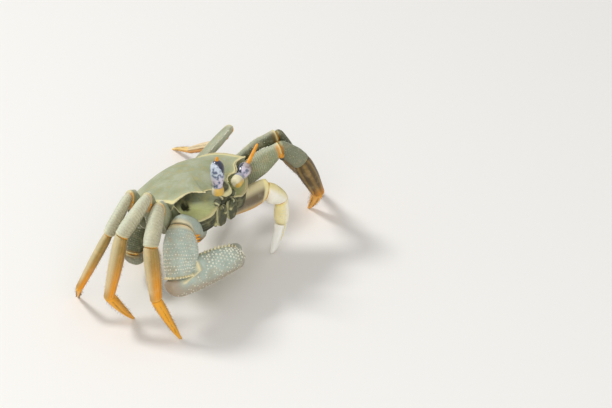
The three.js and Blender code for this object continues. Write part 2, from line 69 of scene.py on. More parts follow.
def onBody(x, y, z):
    return bodyTurn @ (Vector((x, y, z)) * width) + body["centre"]


def heading(side, azimuth, elevation):
    flat = math.cos(math.radians(elevation))
    return Vector((side * flat * math.cos(math.radians(azimuth)),
                   -flat * math.sin(math.radians(azimuth)),
                   math.sin(math.radians(elevation))))


def eased(value, low, high):
    # 0 up to low, 1 from high on and smooth between them
    share = min(max((value - low) / (high - low), 0), 1)
    return share * share * (3 - 2 * share)


def between(value, start, full, ending, end):
    # up from start to full, and down again from ending to end
    return eased(value, start, full) * (1 - eased(value, ending, end))


def hump(value, middle, spread):
    # 1 at the middle, and falling off to both sides
    return math.exp(-((value - middle) / spread) ** 2)


# Camera, floor and lamps
view = {
    "azimuth": -53.89,
    "elevation": 32.29,
    "distance": 1.0,
    "aim": Vector((body["centre"].x, body["centre"].y, 0)) + Vector((59.09, -11.42, 0)) * mm,
    "lens": 156.7,
}
studio = {
    "floorColour": "#f4f2ee",
    "floorReach": 4.0,
    "worldStrength": 0.46,
    "keyPower": 7.2, "keyAzimuth": 201, "keyElevation": 52, "keySize": 0.28,
    "fillPower": 5.4, "fillAzimuth": -52, "fillElevation": 34, "fillSize": 0.9,
    "lampDistance": 1.2,
}


def linear(hexColour):
    channels = [int(hexColour[i:i + 2], 16) / 255 for i in (1, 3, 5)]
    return tuple(c / 12.92 if c <= 0.04045 else ((c + 0.055) / 1.055) ** 2.4
                 for c in channels) + (1,)


def feed(tree, node, inputs):
    # an input takes a link where its value is another node's socket, or a node for its first
    for name, value in inputs.items():
        if isinstance(value, bpy.types.Node):
            value = value.outputs[0]
        if isinstance(value, bpy.types.NodeSocket):
            tree.links.new(value, node.inputs[name])
        else:
            node.inputs[name].default_value = value


def addNode(tree, kind, inputs=None, **settings):
    node = tree.nodes.new(kind)
    for name, value in settings.items():
        setattr(node, name, value)
    feed(tree, node, inputs or {})
    return node


def newMaterial(name):
    material = bpy.data.materials.new(name)
    material.use_nodes = True
    return material, material.node_tree, material.node_tree.nodes["Principled BSDF"]


def fromView(azimuth, elevation):
    a, e = math.radians(azimuth), math.radians(elevation)
    return Vector((math.sin(a) * math.cos(e), -math.cos(a) * math.cos(e), math.sin(e)))


def placeLooking(thing, azimuth, elevation, distance, aim):
    thing.location = aim + fromView(azimuth, elevation) * distance
    thing.rotation_euler = (aim - thing.location).to_track_quat("-Z", "Y").to_euler()
    scene.collection.objects.link(thing)


def buildStudio():
    camera = bpy.data.objects.new("camera", bpy.data.cameras.new("camera"))
    camera.data.lens = view["lens"]
    camera.data.clip_start = 0.01
    placeLooking(camera, view["azimuth"], view["elevation"], view["distance"], view["aim"])
    scene.camera = camera
    middle = Vector((0, 0, 0.5 * cadBounds[1][2]))
    for lamp in ("key", "fill"):
        data = bpy.data.lights.new(lamp, "AREA")
        data.energy = studio[lamp + "Power"]
        data.size = studio[lamp + "Size"]
        placeLooking(bpy.data.objects.new(lamp, data), studio[lamp + "Azimuth"],
                     studio[lamp + "Elevation"], studio["lampDistance"], middle)

    world = bpy.data.worlds.new("softbox")
    scene.world = world
    world.use_nodes = True
    tree = world.node_tree
    tree.nodes.clear()
    # seen and mirrored as white, it lights the crab only softly
    path = addNode(tree, "ShaderNodeLightPath")
    seen = path.outputs["Is Camera Ray"]
    for ray in ("Is Glossy Ray", "Is Transmission Ray"):
        seen = addNode(tree, "ShaderNodeMath", {0: seen, 1: path.outputs[ray]}, operation="MAXIMUM")
    strength = addNode(tree, "ShaderNodeMapRange", {"Value": seen,
                                                    "To Min": studio["worldStrength"], "To Max": 1.0})
    light = addNode(tree, "ShaderNodeBackground", {"Color": (1, 1, 1, 1), "Strength": strength})
    addNode(tree, "ShaderNodeOutputWorld", {"Surface": light})

    # Seamless paper, sprayed matt: even and pale, only the shadow shows on it
    paper, tree, shader = newMaterial("matteSeamlessPaper")
    feed(tree, shader, {"Base Color": linear(studio["floorColour"]), "Roughness": 0.95,
                        "Specular IOR Level": 0.1})
    reach = studio["floorReach"]
    mesh = bpy.data.meshes.new("floor")
    mesh.from_pydata([(-reach, -reach, 0), (reach, -reach, 0), (reach, reach, 0), (-reach, reach, 0)],
                     [], [(0, 1, 2, 3)])
    mesh.materials.append(paper)
    floor = bpy.data.objects.new("floor", mesh)
    scene.collection.objects.link(floor)
    scene.view_settings.view_transform = "Standard"
    print("studio ready")


# Materials. Shell markings come from the attribute "markings": red is warm, green is rim,
# blue is dark and alpha is pale. The UV map "shell" runs round and along each plate in metres.
# A look gives its sizes and depths in millimetres.
def shellMaterial(name, look):
    material, tree, shader = newMaterial(name)
    spot = addNode(tree, "ShaderNodeTexCoord").outputs["Object"]
    marks = addNode(tree, "ShaderNodeAttribute", attribute_name="markings")
    share = addNode(tree, "ShaderNodeSeparateColor", {"Color": marks.outputs["Color"]})
    cloud = addNode(tree, "ShaderNodeTexNoise", {"Vector": spot, "Scale": 1 / (look["mottle"] * mm),
                                                 "Detail": 4.0, "Roughness": 0.6})
    cloudShare = addNode(tree, "ShaderNodeMapRange", {"Value": cloud.outputs["Fac"],
                                                      "From Min": 0.36, "From Max": 0.64})
    # granules: pale, round, one to each cell
    cell = addNode(tree, "ShaderNodeTexVoronoi", {"Vector": spot, "Scale": 1 / (look["grain"] * mm),
                                                  "Randomness": 0.8})
    grain = addNode(tree, "ShaderNodeMapRange", {"Value": cell.outputs["Distance"], "From Min": 0.42,
                                                 "From Max": 0.12})
    grainShare = addNode(tree, "ShaderNodeMath", {0: grain, 1: look["grainTone"]}, operation="MULTIPLY")
    # ridges across or along the plate, a little wavy
    uv = addNode(tree, "ShaderNodeUVMap", uv_map="shell")
    axes = addNode(tree, "ShaderNodeSeparateXYZ", {"Vector": uv})
    wave = addNode(tree, "ShaderNodeMath", {0: axes.outputs[look["ridgeAxis"]],
                                            1: 2 * math.pi / (look["ridge"] * mm)}, operation="MULTIPLY")
    wobble = addNode(tree, "ShaderNodeTexNoise", {"Vector": spot, "Scale": 1 / (2.5 * mm), "Detail": 2.0})
    bent = addNode(tree, "ShaderNodeMath", {0: wobble.outputs["Fac"], 1: look["ridgeWobble"],
                                            2: wave}, operation="MULTIPLY_ADD")
    sine = addNode(tree, "ShaderNodeMath", {0: bent}, operation="SINE")
    furrow = addNode(tree, "ShaderNodeMapRange", {"Value": sine, "From Min": 0.1, "From Max": -0.9})
    furrowShare = addNode(tree, "ShaderNodeMath", {0: furrow, 1: look["ridgeTone"]}, operation="MULTIPLY")
    layers = [(cloudShare, "second"), (grainShare, "grainColour"), (furrowShare, "furrow")]
    # the painted markings, each broken up a little at its edge
    broken = addNode(tree, "ShaderNodeMath", {0: wobble.outputs["Fac"], 1: 0.5, 2: 0.25},
                     operation="MULTIPLY_ADD")
    for output, colour in ((share.outputs[0], "warm"), (share.outputs[2], "dark"),
                           (marks.outputs["Alpha"], "pale"), (share.outputs[1], "rim")):
        edge = addNode(tree, "ShaderNodeMath", {0: output, 1: broken}, operation="ADD")
        spread = addNode(tree, "ShaderNodeMapRange", {"Value": edge, "From Min": 0.5, "From Max": 1.5})
        amount = addNode(tree, "ShaderNodeMath", {0: spread, 1: output}, operation="MAXIMUM")
        layers.append((amount, colour))
    tone = linear(look["base"])
    for amount, colour in layers:
        tone = addNode(tree, "ShaderNodeMix", {0: amount, 6: tone, 7: linear(look[colour])},
                       data_type="RGBA").outputs[2]
    fine = addNode(tree, "ShaderNodeTexNoise", {"Vector": spot, "Scale": 1 / (0.35 * mm), "Detail": 3.0})
    rough = addNode(tree, "ShaderNodeMapRange", {"Value": fine.outputs["Fac"],
                                                 "To Min": look["roughness"] - 0.1,
                                                 "To Max": look["roughness"] + 0.12})
    relief = {}
    for height, depth in ((fine.outputs["Fac"], 0.05), (grain, look["grainDepth"]),
                          (sine, look["ridgeDepth"])):
        bump = addNode(tree, "ShaderNodeBump", {"Height": height, "Distance": depth * mm, **relief})
        relief = {"Normal": bump}
    feed(tree, shader, {"Base Color": tone, "Roughness": rough,
                        "IOR": 1.54,  # calcite and chitin
                        "Specular IOR Level": look["gloss"], **relief})
    return material


plainLook = {
    "base": "#a9ae90", "second": "#979d7c", "mottle": 5.0,
    "grain": 0.55, "grainColour": "#c9ccaa", "grainTone": 0.45, "grainDepth": 0.06,
    "ridge": 0.6, "ridgeAxis": 1, "ridgeTone": 0.0, "ridgeDepth": 0.0, "ridgeWobble": 6.0,
    "furrow": "#6d7350", "warm": "#d9962e", "dark": "#33341c", "pale": "#c3ca95", "rim": "#e6dca4",
    "roughness": 0.55, "gloss": 0.35,
}


def shellLook(**changes):
    return {**plainLook, **changes}


def plainMaterial(name, colour, second, size, roughness, depth=0.04, gloss=0.5):
    # one body colour with a soft cloudiness of the given size in millimetres
    material, tree, shader = newMaterial(name)
    spot = addNode(tree, "ShaderNodeTexCoord").outputs["Object"]
    cloud = addNode(tree, "ShaderNodeTexNoise", {"Vector": spot, "Scale": 1 / (size * mm), "Detail": 3.0})
    share = addNode(tree, "ShaderNodeMapRange", {"Value": cloud.outputs["Fac"], "From Min": 0.38,
                                                 "From Max": 0.62})
    tone = addNode(tree, "ShaderNodeMix", {0: share.outputs[0], 6: linear(colour), 7: linear(second)},
                   data_type="RGBA")
    bump = addNode(tree, "ShaderNodeBump", {"Height": cloud.outputs["Fac"], "Distance": depth * mm})
    feed(tree, shader, {"Base Color": tone.outputs[2], "Roughness": roughness,
                        "Specular IOR Level": gloss, "Normal": bump})
    return material


def eyeMaterial(name):
    # A cornea of packed facets, clear and hard as glaze over black-blue pigment. "markings"
    # red carries the grey eyestalk skin that runs up over part of it, green turns that skin
    # brown and blue turns its pale patches lilac.
    material, tree, shader = newMaterial(name)
    spot = addNode(tree, "ShaderNodeTexCoord").outputs["Object"]
    marks = addNode(tree, "ShaderNodeAttribute", attribute_name="markings")
    share = addNode(tree, "ShaderNodeSeparateColor", {"Color": marks.outputs["Color"]})
    blot = addNode(tree, "ShaderNodeTexNoise", {"Vector": spot, "Scale": 1 / (1.1 * mm), "Detail": 3.0,
                                                "Roughness": 0.6})
    edge = addNode(tree, "ShaderNodeMath", {0: blot.outputs["Fac"], 1: 1.1, 2: share.outputs[0]},
                   operation="MULTIPLY_ADD")
    skin = addNode(tree, "ShaderNodeMapRange", {"Value": edge, "From Min": 1.02, "From Max": 1.08})
    depth = addNode(tree, "ShaderNodeMix", {0: blot.outputs["Fac"], 6: linear("#03060f"),
                                            7: linear("#12254a")}, data_type="RGBA")
    cloud = addNode(tree, "ShaderNodeTexNoise", {"Vector": spot, "Scale": 1 / (1.5 * mm), "Detail": 4.0})
    cloudShare = addNode(tree, "ShaderNodeMapRange", {"Value": cloud.outputs["Fac"], "From Min": 0.4,
                                                      "From Max": 0.52})
    pale = addNode(tree, "ShaderNodeMix", {0: share.outputs[2], 6: linear("#c8d2de"),
                                           7: linear("#cfc4d2")}, data_type="RGBA")
    grey = addNode(tree, "ShaderNodeMix", {0: cloudShare, 6: linear("#5f6c86"),
                                           7: pale.outputs[2]}, data_type="RGBA")
    warm = addNode(tree, "ShaderNodeMix", {0: share.outputs[1], 6: grey.outputs[2],
                                           7: linear("#a5806a")}, data_type="RGBA")
    tone = addNode(tree, "ShaderNodeMix", {0: skin, 6: depth.outputs[2], 7: warm.outputs[2]},
                   data_type="RGBA")
    rough = addNode(tree, "ShaderNodeMapRange", {"Value": skin, "To Min": 0.12, "To Max": 0.4})
    facet = addNode(tree, "ShaderNodeTexVoronoi", {"Vector": spot, "Scale": 1 / (0.16 * mm)})
    bump = addNode(tree, "ShaderNodeBump", {"Height": facet.outputs["Distance"], "Distance": 0.01 * mm})
    feed(tree, shader, {"Base Color": tone.outputs[2], "Roughness": rough, "Normal": bump, "IOR": 1.5,
                        "Coat Weight": 0.6, "Coat Roughness": 0.06})
    return material


# Limy shell grown with fine granules: matt and dusty, each granule a shade paler
# its dark colour is the painted shade of the carapace front and sockets, and its pale colour also the painted
# sunlight on the socket floors
granulatedShell = shellMaterial("crabShellGranulated", shellLook(
    base="#b3b79b", second="#949b76", grain=0.5, grainTone=0.3, ridge=0.7, ridgeTone=0.2,
    ridgeDepth=0.02, dark="#2b2a14", pale="#e4e8a8", roughness=0.6))
# The same shell grown in short cross ridges, scaly to the eye, with whitish ridge tops
# its dark colour carries painted shade under and in front of the legs' meri and carpi, and its pale colour
# painted light on the right legs' carpi
crossRidgedShell = shellMaterial("crabShellCrossRidged", shellLook(
    base="#a9ae90", second="#969c7a", grain=0.75, grainColour="#dcdcc0", grainTone=0.5,
    grainDepth=0.09, ridge=0.85, ridgeTone=0.4, ridgeDepth=0.06, furrow="#757b56",
    dark="#3f3f22", pale="#e0e2cb", warm="#e6981c", rim="#e9dca0"))
# Shell grown in ribs along the shin, satin on the rib tops
# its pale colour carries painted light on the shins' lit sides
ribbedShell = shellMaterial("crabShellRibbed", shellLook(
    base="#99894c", second="#8a7233", grain=0.6, grainColour="#c8b468", grainTone=0.22, grainDepth=0.05,
    ridge=1.15, ridgeAxis=0, ridgeTone=0.2, ridgeDepth=0.05, ridgeWobble=1.6, furrow="#7a5a1c",
    dark="#3f2c08", pale="#efe2b8", warm="#e89600", rim="#eebc4c", roughness=0.45, gloss=0.45))
# Toe shell, thin and worn smooth, orange through and through
toeShell = shellMaterial("crabShellWornToe", shellLook(
    base="#e8a62c", second="#d99a24", mottle=3.0, grain=0.5, grainColour="#efc96a", grainTone=0.2,
    grainDepth=0.03, ridge=1.4, ridgeAxis=0, ridgeTone=0.18, ridgeDepth=0.03, ridgeWobble=1.2,
    furrow="#a06c10", dark="#5f3f0c", pale="#f4d98c", warm="#f2a818", rim="#f4d070", roughness=0.42,
    gloss=0.45))
# Claw shell under stout tubercles: blue-grey, smooth between them
# its pale colour is a brown-grey, the painted shade over the heel, the far end of the hand and the fingers,
# and its dark colour paints shade under the merus
tuberculateShell = shellMaterial("crabShellTuberculate", shellLook(
    base="#bbc8ba", second="#a5b2a5", mottle=4.0, grain=0.6, grainColour="#d6dccf", grainTone=0.4,
    ridge=1.6, ridgeTone=0.06, ridgeDepth=0.01, furrow="#8a968c", dark="#4a3a1c", pale="#a89c88",
    warm="#e0982a", rim="#f2e2b0", roughness=0.5, gloss=0.4))
# Smooth thick claw shell, ivory with a satin shine
# its dark colour is the small merus's brown, deepened as painted shade
ivoryShell = shellMaterial("crabShellIvory", shellLook(
    base="#fff6d8", second="#f6eabc", mottle=3.0, grain=0.5, grainColour="#f8f4e4", grainTone=0.4,
    ridge=1.2, ridgeTone=0.06, ridgeDepth=0.02, furrow="#c5b886", dark="#4a3204", pale="#fdfcf6",
    warm="#dd9c1e", rim="#efdf8e", roughness=0.42, gloss=0.5))
# Tubercles hard as enamel, worn smooth and nearly white, and finer ones left dusty or cream
toothEnamel = plainMaterial("wornTubercleEnamel", "#ecebd8", "#dcdcc8", 0.8, 0.38)
granuleEnamel = plainMaterial("dustyGranuleEnamel", "#cdd1b6", "#bfc4a6", 0.8, 0.5)
creamEnamel = plainMaterial("creamRimEnamel", "#efe6c0", "#e2d3a0", 0.8, 0.45)
# Pleated skin between the plates, soft and waxy
jointSkin = plainMaterial("pleatedJointSkin", "#e4a02a", "#d28c1c", 1.2, 0.5, depth=0.1)
# Bristles of bare chitin, dark and dry
bristle = plainMaterial("dryChitinBristle", "#3a3020", "#544530", 0.5, 0.6)
# Horn drawn out in one growth, smooth and waxy
hornChitin = plainMaterial("smoothHornChitin", "#f2a51a", "#e09212", 1.0, 0.38)
corneaGlaze = eyeMaterial("facetedCorneaGlaze")
# Eyestalk skin over its bulb, cream going to lilac grey
stalkSkin = shellMaterial("eyestalkSkin", shellLook(
    base="#a9a8b8", second="#9095a2", mottle=1.6, grain=0.5, grainColour="#d6d3dc", grainTone=0.35,
    grainDepth=0.03, warm="#dcb24a", dark="#3c3a4e", pale="#e2dab6", rim="#e6dcae", roughness=0.42))
print("materials ready")


# Meshes from rings of points. Each ring may carry its markings; both ends get a fan.
def ringMesh(name, rings, marks=None, lengths=None, girth=0.01):
    count = len(rings[0])
    points = [p for ring in rings for p in ring]
    points += [sum(ring, Vector()) / count for ring in (rings[0], rings[-1])]
    lengths = lengths or [0.0] * len(rings)
    strips = [(k, (k + 1) % count, girth * k / count, girth * (k + 1) / count) for k in range(count)]
    faces, corners = [], []
    for r in range(len(rings) - 1):
        near, far = r * count, (r + 1) * count
        for k, after, u0, u1 in strips:
            faces.append((near + k, near + after, far + after, far + k))
            corners.append(((u0, lengths[r]), (u1, lengths[r]), (u1, lengths[r + 1]), (u0, lengths[r + 1])))
    last = (len(rings) - 1) * count
    for k, after, u0, u1 in strips:
        faces.append((last + count, after, k))
        corners.append(((u0, lengths[0]), (u1, lengths[0]), (u0, lengths[0])))
        faces.append((last + count + 1, last + k, last + after))
        corners.append(((u0, lengths[-1]), (u0, lengths[-1]), (u1, lengths[-1])))
    # turned the right way out where the rings run the other way round
    volume = sum(points[f[0]].dot(points[f[i]].cross(points[f[i + 1]]))
                 for f in faces for i in range(1, len(f) - 1))
    if volume < 0:
        faces = [f[::-1] for f in faces]
        corners = [c[::-1] for c in corners]
    mesh = bpy.data.meshes.new(name)
    mesh.from_pydata(points, [], faces)
    layer = mesh.uv_layers.new(name="shell")
    layer.data.foreach_set("uv", [value for face in corners for uv in face for value in uv])
    flatMarks = [mark for ring in marks for mark in ring] if marks else [(0, 0, 0, 0)] * (last + count)
    flatMarks += [flatMarks[0], flatMarks[-1]]
    paint = mesh.color_attributes.new("markings", "FLOAT_COLOR", "POINT")
    paint.data.foreach_set("color", [value for mark in flatMarks for value in mark])
    mesh.shade_smooth()
    thing = bpy.data.objects.new(name, mesh)
    scene.collection.objects.link(thing)
    return thing


def joined(name, things):
    with bpy.context.temp_override(active_object=things[0], object=things[0],
                                   selected_objects=things, selected_editable_objects=things):
        bpy.ops.object.join()
    things[0].name = name
    things[0].data.name = name
    return things[0]


def settle(thing, material, nodes=()):
    if material:
        thing.data.materials.clear()
        thing.data.materials.append(material)
    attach(thing, "root")
    if nodes:
        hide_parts(*nodes)
    return thing


# Smooth values through rows, without overshoot. A row is its place along the limb, half
# height, half thickness, bow, sway and lean; what runs from 0 to 1 is the way along them.
def smoothRows(rows):
    swayWeight = 0.4  # how much a step to the side counts as way
    rows = [tuple(row) + (0,) * (6 - len(row)) for row in rows]
    stops = [0.0]
    for before, row in zip(rows, rows[1:]):
        stops.append(stops[-1] + math.hypot(row[0] - before[0], swayWeight * (row[4] - before[4])))
    stops = [stop / stops[-1] for stop in stops]
    steps = [after - before for before, after in zip(stops, stops[1:])]
    slopes = []
    for column in range(6):
        rises = [(rows[i + 1][column] - rows[i][column]) / steps[i] for i in range(len(steps))]
        middle = [2 * a * b / (a + b) if a * b > 0 else 0 for a, b in zip(rises, rises[1:])]
        slopes.append([rises[0]] + middle + [rises[-1]])

    def at(way):
        way = min(max(way, 0), 1)
        i = max(k for k in range(len(steps)) if stops[k] <= way)
        t = (way - stops[i]) / steps[i]
        values = []
        for column in range(6):
            a, b = rows[i][column], rows[i + 1][column]
            m, n = slopes[column][i] * steps[i], slopes[column][i + 1] * steps[i]
            values.append((2 * t ** 3 - 3 * t ** 2 + 1) * a + (t ** 3 - 2 * t ** 2 + t) * m
                          + (3 * t ** 2 - 2 * t ** 3) * b + (t ** 3 - t ** 2) * n)
        return values
    return at


def through(points, t):
    i = min(max(int(t), 0), len(points) - 2)
    f = t - i
    a, b = Vector(points[i]), Vector(points[i + 1])
    before = Vector(points[i - 1]) if i > 0 else 2 * a - b
    after = Vector(points[i + 2]) if i + 2 < len(points) else 2 * b - a
    return 0.5 * (2 * a + (b - before) * f + (2 * before - 5 * a + 4 * b - after) * f ** 2
                  + (3 * a - before - 3 * b + after) * f ** 3)


def bend(before, after, share=0.5, clear=None):
    # share is how much of the turn the first segment makes; clear is where the inside of
    # the second one starts, for a hand that is folded past its wrist
    angle = before.angle(after)
    return {"before": before, "after": after, "clear": clear,
            "angles": (angle * share, angle * (1 - share))}


ribEnd = 0.05  # half the stretch of place over which a rib fades out
steepestCut = 1.35  # radians, the most that a plate's end is cut back inside a bend


# The skin of a limb segment as a function of place, 0 to 1 along it, and turn round it.
# A turn of 0 is its upper side. On the outside of a bend it runs on round the joint, and
# on the inside it stops at the joint's plane. Ribs are (turn, spread, height, first, last).
def limbShape(a, b, up, profile, depth, thickness, startBend=None, endBend=None, footed=False,
              power=2.3, swaySide=1, ribs=(), relief=None):
    length = (b - a).length
    along = (b - a) / length
    rise = (up - along * up.dot(along)).normalized()
    out = along.cross(rise)
    rowAt = smoothRows(profile)
    startOut = carried(startBend["before"], along) if startBend else None
    endOut = -carried(endBend["after"], along) if endBend else None

    def reach(height, angle, clear):
        # how far past the joint a side line runs, at this height outside its axis
        gap = body["seam"] / 2 / max(math.cos(angle), 0.5)
        if height >= 0:
            return height * angle - gap
        inner = height * math.tan(min(angle, steepestCut)) - gap
        return max(inner, -clear) if clear else inner

    def at(place, turn):
        station, halfHeight, halfThickness, bow, sway, lean = rowAt(place)
        c, s = math.cos(turn), math.sin(turn)
        rc = math.copysign(abs(c) ** (2 / power), c)
        rs = math.copysign(abs(s) ** (2 / power), s)
        proud = 0
        for ribTurn, spread, height, first, last in ribs:
            away = (turn - ribTurn + math.pi) % (2 * math.pi) - math.pi
            proud += height * hump(away, 0, spread) \
                * between(place, first - ribEnd, first + ribEnd, last - ribEnd, last + ribEnd)
        if relief:
            proud += relief(place, turn)
        tilt = math.radians(lean)
        across = out * math.cos(tilt) + along * (swaySide * math.sin(tilt))
        offset = (rise * (depth * (bow + halfHeight * rc) + proud * c)
                  + out * (thickness * swaySide * sway)
                  + across * (thickness * halfThickness * rs + proud * s))
        first, final = 0, length
        if startBend:
            first = -reach(offset.dot(startOut), startBend["angles"][1], startBend["clear"])
        if endBend:
            final = length + reach(offset.dot(endOut), endBend["angles"][0], None)
        if footed:  # the tip is ground flat on the floor
            final = -(a + offset).z / along.z
        reached = first + station * (final - first)
        for joint, joinOut, beyond, way in ((b, endOut, reached - length, 1), (a, startOut, -reached, -1)):
            height = offset.dot(joinOut) if joinOut else 0
            if beyond > 0 and height > 0:  # round the outside of the bend
                angle = beyond / height
                return (joint + offset + joinOut * (height * (math.cos(angle) - 1))
                        + along * (way * height * math.sin(angle)))
        return a + offset + along * reached

    def core(place):
        station, halfHeight, halfThickness, bow, sway, lean = rowAt(place)
        return a + rise * (depth * bow) + out * (thickness * swaySide * sway) + along * (station * length)

    middle = rowAt(0.5)
    return {"at": at, "core": core, "length": length, "along": along, "rise": rise, "out": out,
            "girth": math.pi * (middle[1] * depth + middle[2] * thickness), "a": a, "b": b}


def turnTowards(shape, direction):
    return math.atan2(direction.dot(shape["out"]), direction.dot(shape["rise"]))


# How a plate's ends are rounded off: part of the edge's length, and size of the ring there
endRings = ((0, 0.45), (0, 0.82), (0.3, 0.94), (1, 1))


def shapeMesh(name, shape, rings, around, paint=None, edge=0.35 * mm):
    edge = min(edge / shape["length"], 0.12)  # as a share of the length, and less than an eighth of it
    cuts = [(edge * share, size) for share, size in endRings]
    cuts += [(edge + (1 - 2 * edge) * i / rings, 1) for i in range(1, rings)]
    cuts += [(1 - edge * share, size) for share, size in reversed(endRings)]
    turns = [2 * math.pi * k / around for k in range(around)]
    ringList, marks, lengths = [], [], []
    for place, size in cuts:
        ring = [shape["at"](place, turn) for turn in turns]
        if size < 1:
            middle = sum(ring, Vector()) / around
            ring = [middle + (p - middle) * size for p in ring]
        ringList.append(ring)
        lengths.append(place * shape["length"])
        marks.append([paint(place, turn) if paint else (0, 0, 0, 0) for turn in turns])
    return ringMesh(name, ringList, marks, lengths, shape["girth"])


# Tubercles and bristles, by Geometry Nodes: one on each seat, a seat being a point with the
# way it faces and its size
def namedInputs(tree, sockets):
    tree.interface.new_socket("Geometry", in_out="INPUT", socket_type="NodeSocketGeometry")
    for name, kind in sockets:
        tree.interface.new_socket(name, in_out="INPUT", socket_type=kind)
    tree.interface.new_socket("Geometry", in_out="OUTPUT", socket_type="NodeSocketGeometry")
    return addNode(tree, "NodeGroupInput")


def seatTree(name, tapered):
    tree = bpy.data.node_groups.new(name, "GeometryNodeTree")
    given = namedInputs(tree, (("Radius", "NodeSocketFloat"), ("Height", "NodeSocketFloat"),
                               ("Variation", "NodeSocketFloat"), ("Lean", "NodeSocketFloat"),
                               ("Seed", "NodeSocketInt"), ("Material", "NodeSocketMaterial")))
    if tapered:
        form = addNode(tree, "GeometryNodeMeshCone", {"Vertices": 5, "Side Segments": 3,
                                                      "Fill Segments": 1, "Radius Top": 0.12,
                                                      "Radius Bottom": 1.0, "Depth": 1.0})
    else:
        form = addNode(tree, "GeometryNodeMeshUVSphere", {"Segments": 8, "Rings": 6, "Radius": 1.0})
    facing = addNode(tree, "GeometryNodeInputNamedAttribute", {"Name": "facing"},
                     data_type="FLOAT_VECTOR")
    swell = addNode(tree, "GeometryNodeInputNamedAttribute", {"Name": "swell"}, data_type="FLOAT")
    least = addNode(tree, "ShaderNodeMath", {0: 1.0, 1: given.outputs["Variation"]}, operation="SUBTRACT")
    most = addNode(tree, "ShaderNodeMath", {0: 1.0, 1: given.outputs["Variation"]}, operation="ADD")
    chance = addNode(tree, "FunctionNodeRandomValue", {"Min": least, "Max": most,
                                                       "Seed": given.outputs["Seed"]})
    lean = addNode(tree, "FunctionNodeRandomValue", data_type="FLOAT_VECTOR")
    lean.inputs["Min"].default_value = (-1, -1, -1)
    tree.links.new(given.outputs["Seed"], lean.inputs["Seed"])
    leaning = addNode(tree, "ShaderNodeVectorMath", {0: lean}, operation="SCALE")
    tree.links.new(given.outputs["Lean"], leaning.inputs["Scale"])
    way = addNode(tree, "ShaderNodeVectorMath", {0: facing, 1: leaning})
    turned = addNode(tree, "FunctionNodeAlignRotationToVector", {"Vector": way}, axis="Z")
    size = addNode(tree, "ShaderNodeMath", {0: swell, 1: chance.outputs[1]}, operation="MULTIPLY")
    wide = addNode(tree, "ShaderNodeMath", {0: size, 1: given.outputs["Radius"]}, operation="MULTIPLY")
    tall = addNode(tree, "ShaderNodeMath", {0: size, 1: given.outputs["Height"]}, operation="MULTIPLY")
    scale = addNode(tree, "ShaderNodeCombineXYZ", {"X": wide, "Y": wide, "Z": tall})
    points = addNode(tree, "GeometryNodeMeshToPoints", {"Mesh": given.outputs["Geometry"]})
    copies = addNode(tree, "GeometryNodeInstanceOnPoints", {
        "Points": points, "Instance": form.outputs["Mesh"], "Rotation": turned, "Scale": scale})
    smooth = addNode(tree, "GeometryNodeSetShadeSmooth", {"Geometry": copies})
    real = addNode(tree, "GeometryNodeRealizeInstances", {"Geometry": smooth})
    dressed = addNode(tree, "GeometryNodeSetMaterial", {"Geometry": real,
                                                        "Material": given.outputs["Material"]})
    addNode(tree, "NodeGroupOutput", {"Geometry": dressed})
    return tree


tubercleTree = seatTree("tubercles", False)
spineTree = seatTree("spines", True)


def grow(name, seats, tree, material, radius, height, variation=0.0, lean=0.0, seed=1):
    # radius and height are in millimetres, for a seat of size 1
    values = {"Radius": radius * mm, "Height": height * mm, "Variation": variation, "Lean": lean,
              "Seed": seed, "Material": material}
    mesh = bpy.data.meshes.new(name + "Seats")
    mesh.from_pydata([seat[0] for seat in seats], [], [])
    facing = mesh.attributes.new("facing", "FLOAT_VECTOR", "POINT")
    facing.data.foreach_set("vector", [value for seat in seats for value in seat[1]])
    swell = mesh.attributes.new("swell", "FLOAT", "POINT")
    swell.data.foreach_set("value", [seat[2] for seat in seats])
    seated = bpy.data.objects.new(name + "Seats", mesh)
    scene.collection.objects.link(seated)
    modifier = seated.modifiers.new("grow", "NODES")
    modifier.node_group = tree
    for item in tree.interface.items_tree:
        if item.in_out == "INPUT" and item.name in values:
            modifier[item.identifier] = values[item.name]
    grown = bpy.data.meshes.new_from_object(seated.evaluated_get(bpy.context.evaluated_depsgraph_get()))
    grown.name = name
    bpy.data.objects.remove(seated)
    thing = bpy.data.objects.new(name, grown)
    scene.collection.objects.link(thing)
    return settle(thing, None, ())


def seatOn(shape, place, turn, size=1.0, sink=0.0):
    step = 0.01
    point = shape["at"](place, turn)
    forward = shape["at"](place + step, turn) - shape["at"](place - step, turn)
    across = shape["at"](place, turn + step) - shape["at"](place, turn - step)
    facing = forward.cross(across).normalized()
    if facing.dot(point - shape["core"](place)) < 0:
        facing = -facing
    return point - facing * sink, facing, size


# Carapace. Half outlines from the middle of the front to the middle of the back: its upper
# margin, the crest under the orbits and down the side, and its lower edge. Between them run
# the dome, the wall, the skirt and the underside.
carapace = {
    "domeTop": 0.155, "domeCentreY": -0.06, "domeFall": 2.3, "domeOval": (0.46, 0.41),
    "leastTurn": 2.5,  # degrees from one place of the margin to the next, as seen from the middle
    "cornerReach": 4,  # places to each side over which the margin's height is evened out
    "outlineHold": 8, "heightHold": 12,  # powers with which the dome closes on its margin
    "innerRing": 0.04, "ringCrowding": 0.9,
    "orbitHeart": Vector((0.28, -0.19, -0.1)),  # the middle of the foot of the socket's back
    "orbitNarrowing": 0.6, "orbitRoofDrop": 0.045,
    "orbitSpan": (2.6, 4.2, 9.8, 11.0),  # outline places where the socket starts and ends
    "grooveDepth": 0.006, "grooveFade": 6,  # depth, and the power with which it fades to the margin
    "wallBulge": 0.01, "wallBead": 0.007, "skirtBulge": 0.012, "skirtBead": 0.005,
    "roof": -0.178, "underCentreY": -0.05, "underRings": (0.94, 0.92, 0.6, 0.3), "underLip": 0.93,
    "stepsPerPlace": 7, "domeRings": 34, "wallRings": 30, "skirtRings": 12,
    "girth": 3.2,  # way round the shell, for its UV map
    # rows of beads: share of the wall, first and last outline place, and gap
    "beadRows": ((0.0, 2.8, 16.5, 0.42 * mm), (1.0, 2.4, 12.5, 0.5 * mm)), "beadSearch": 0.01,
}
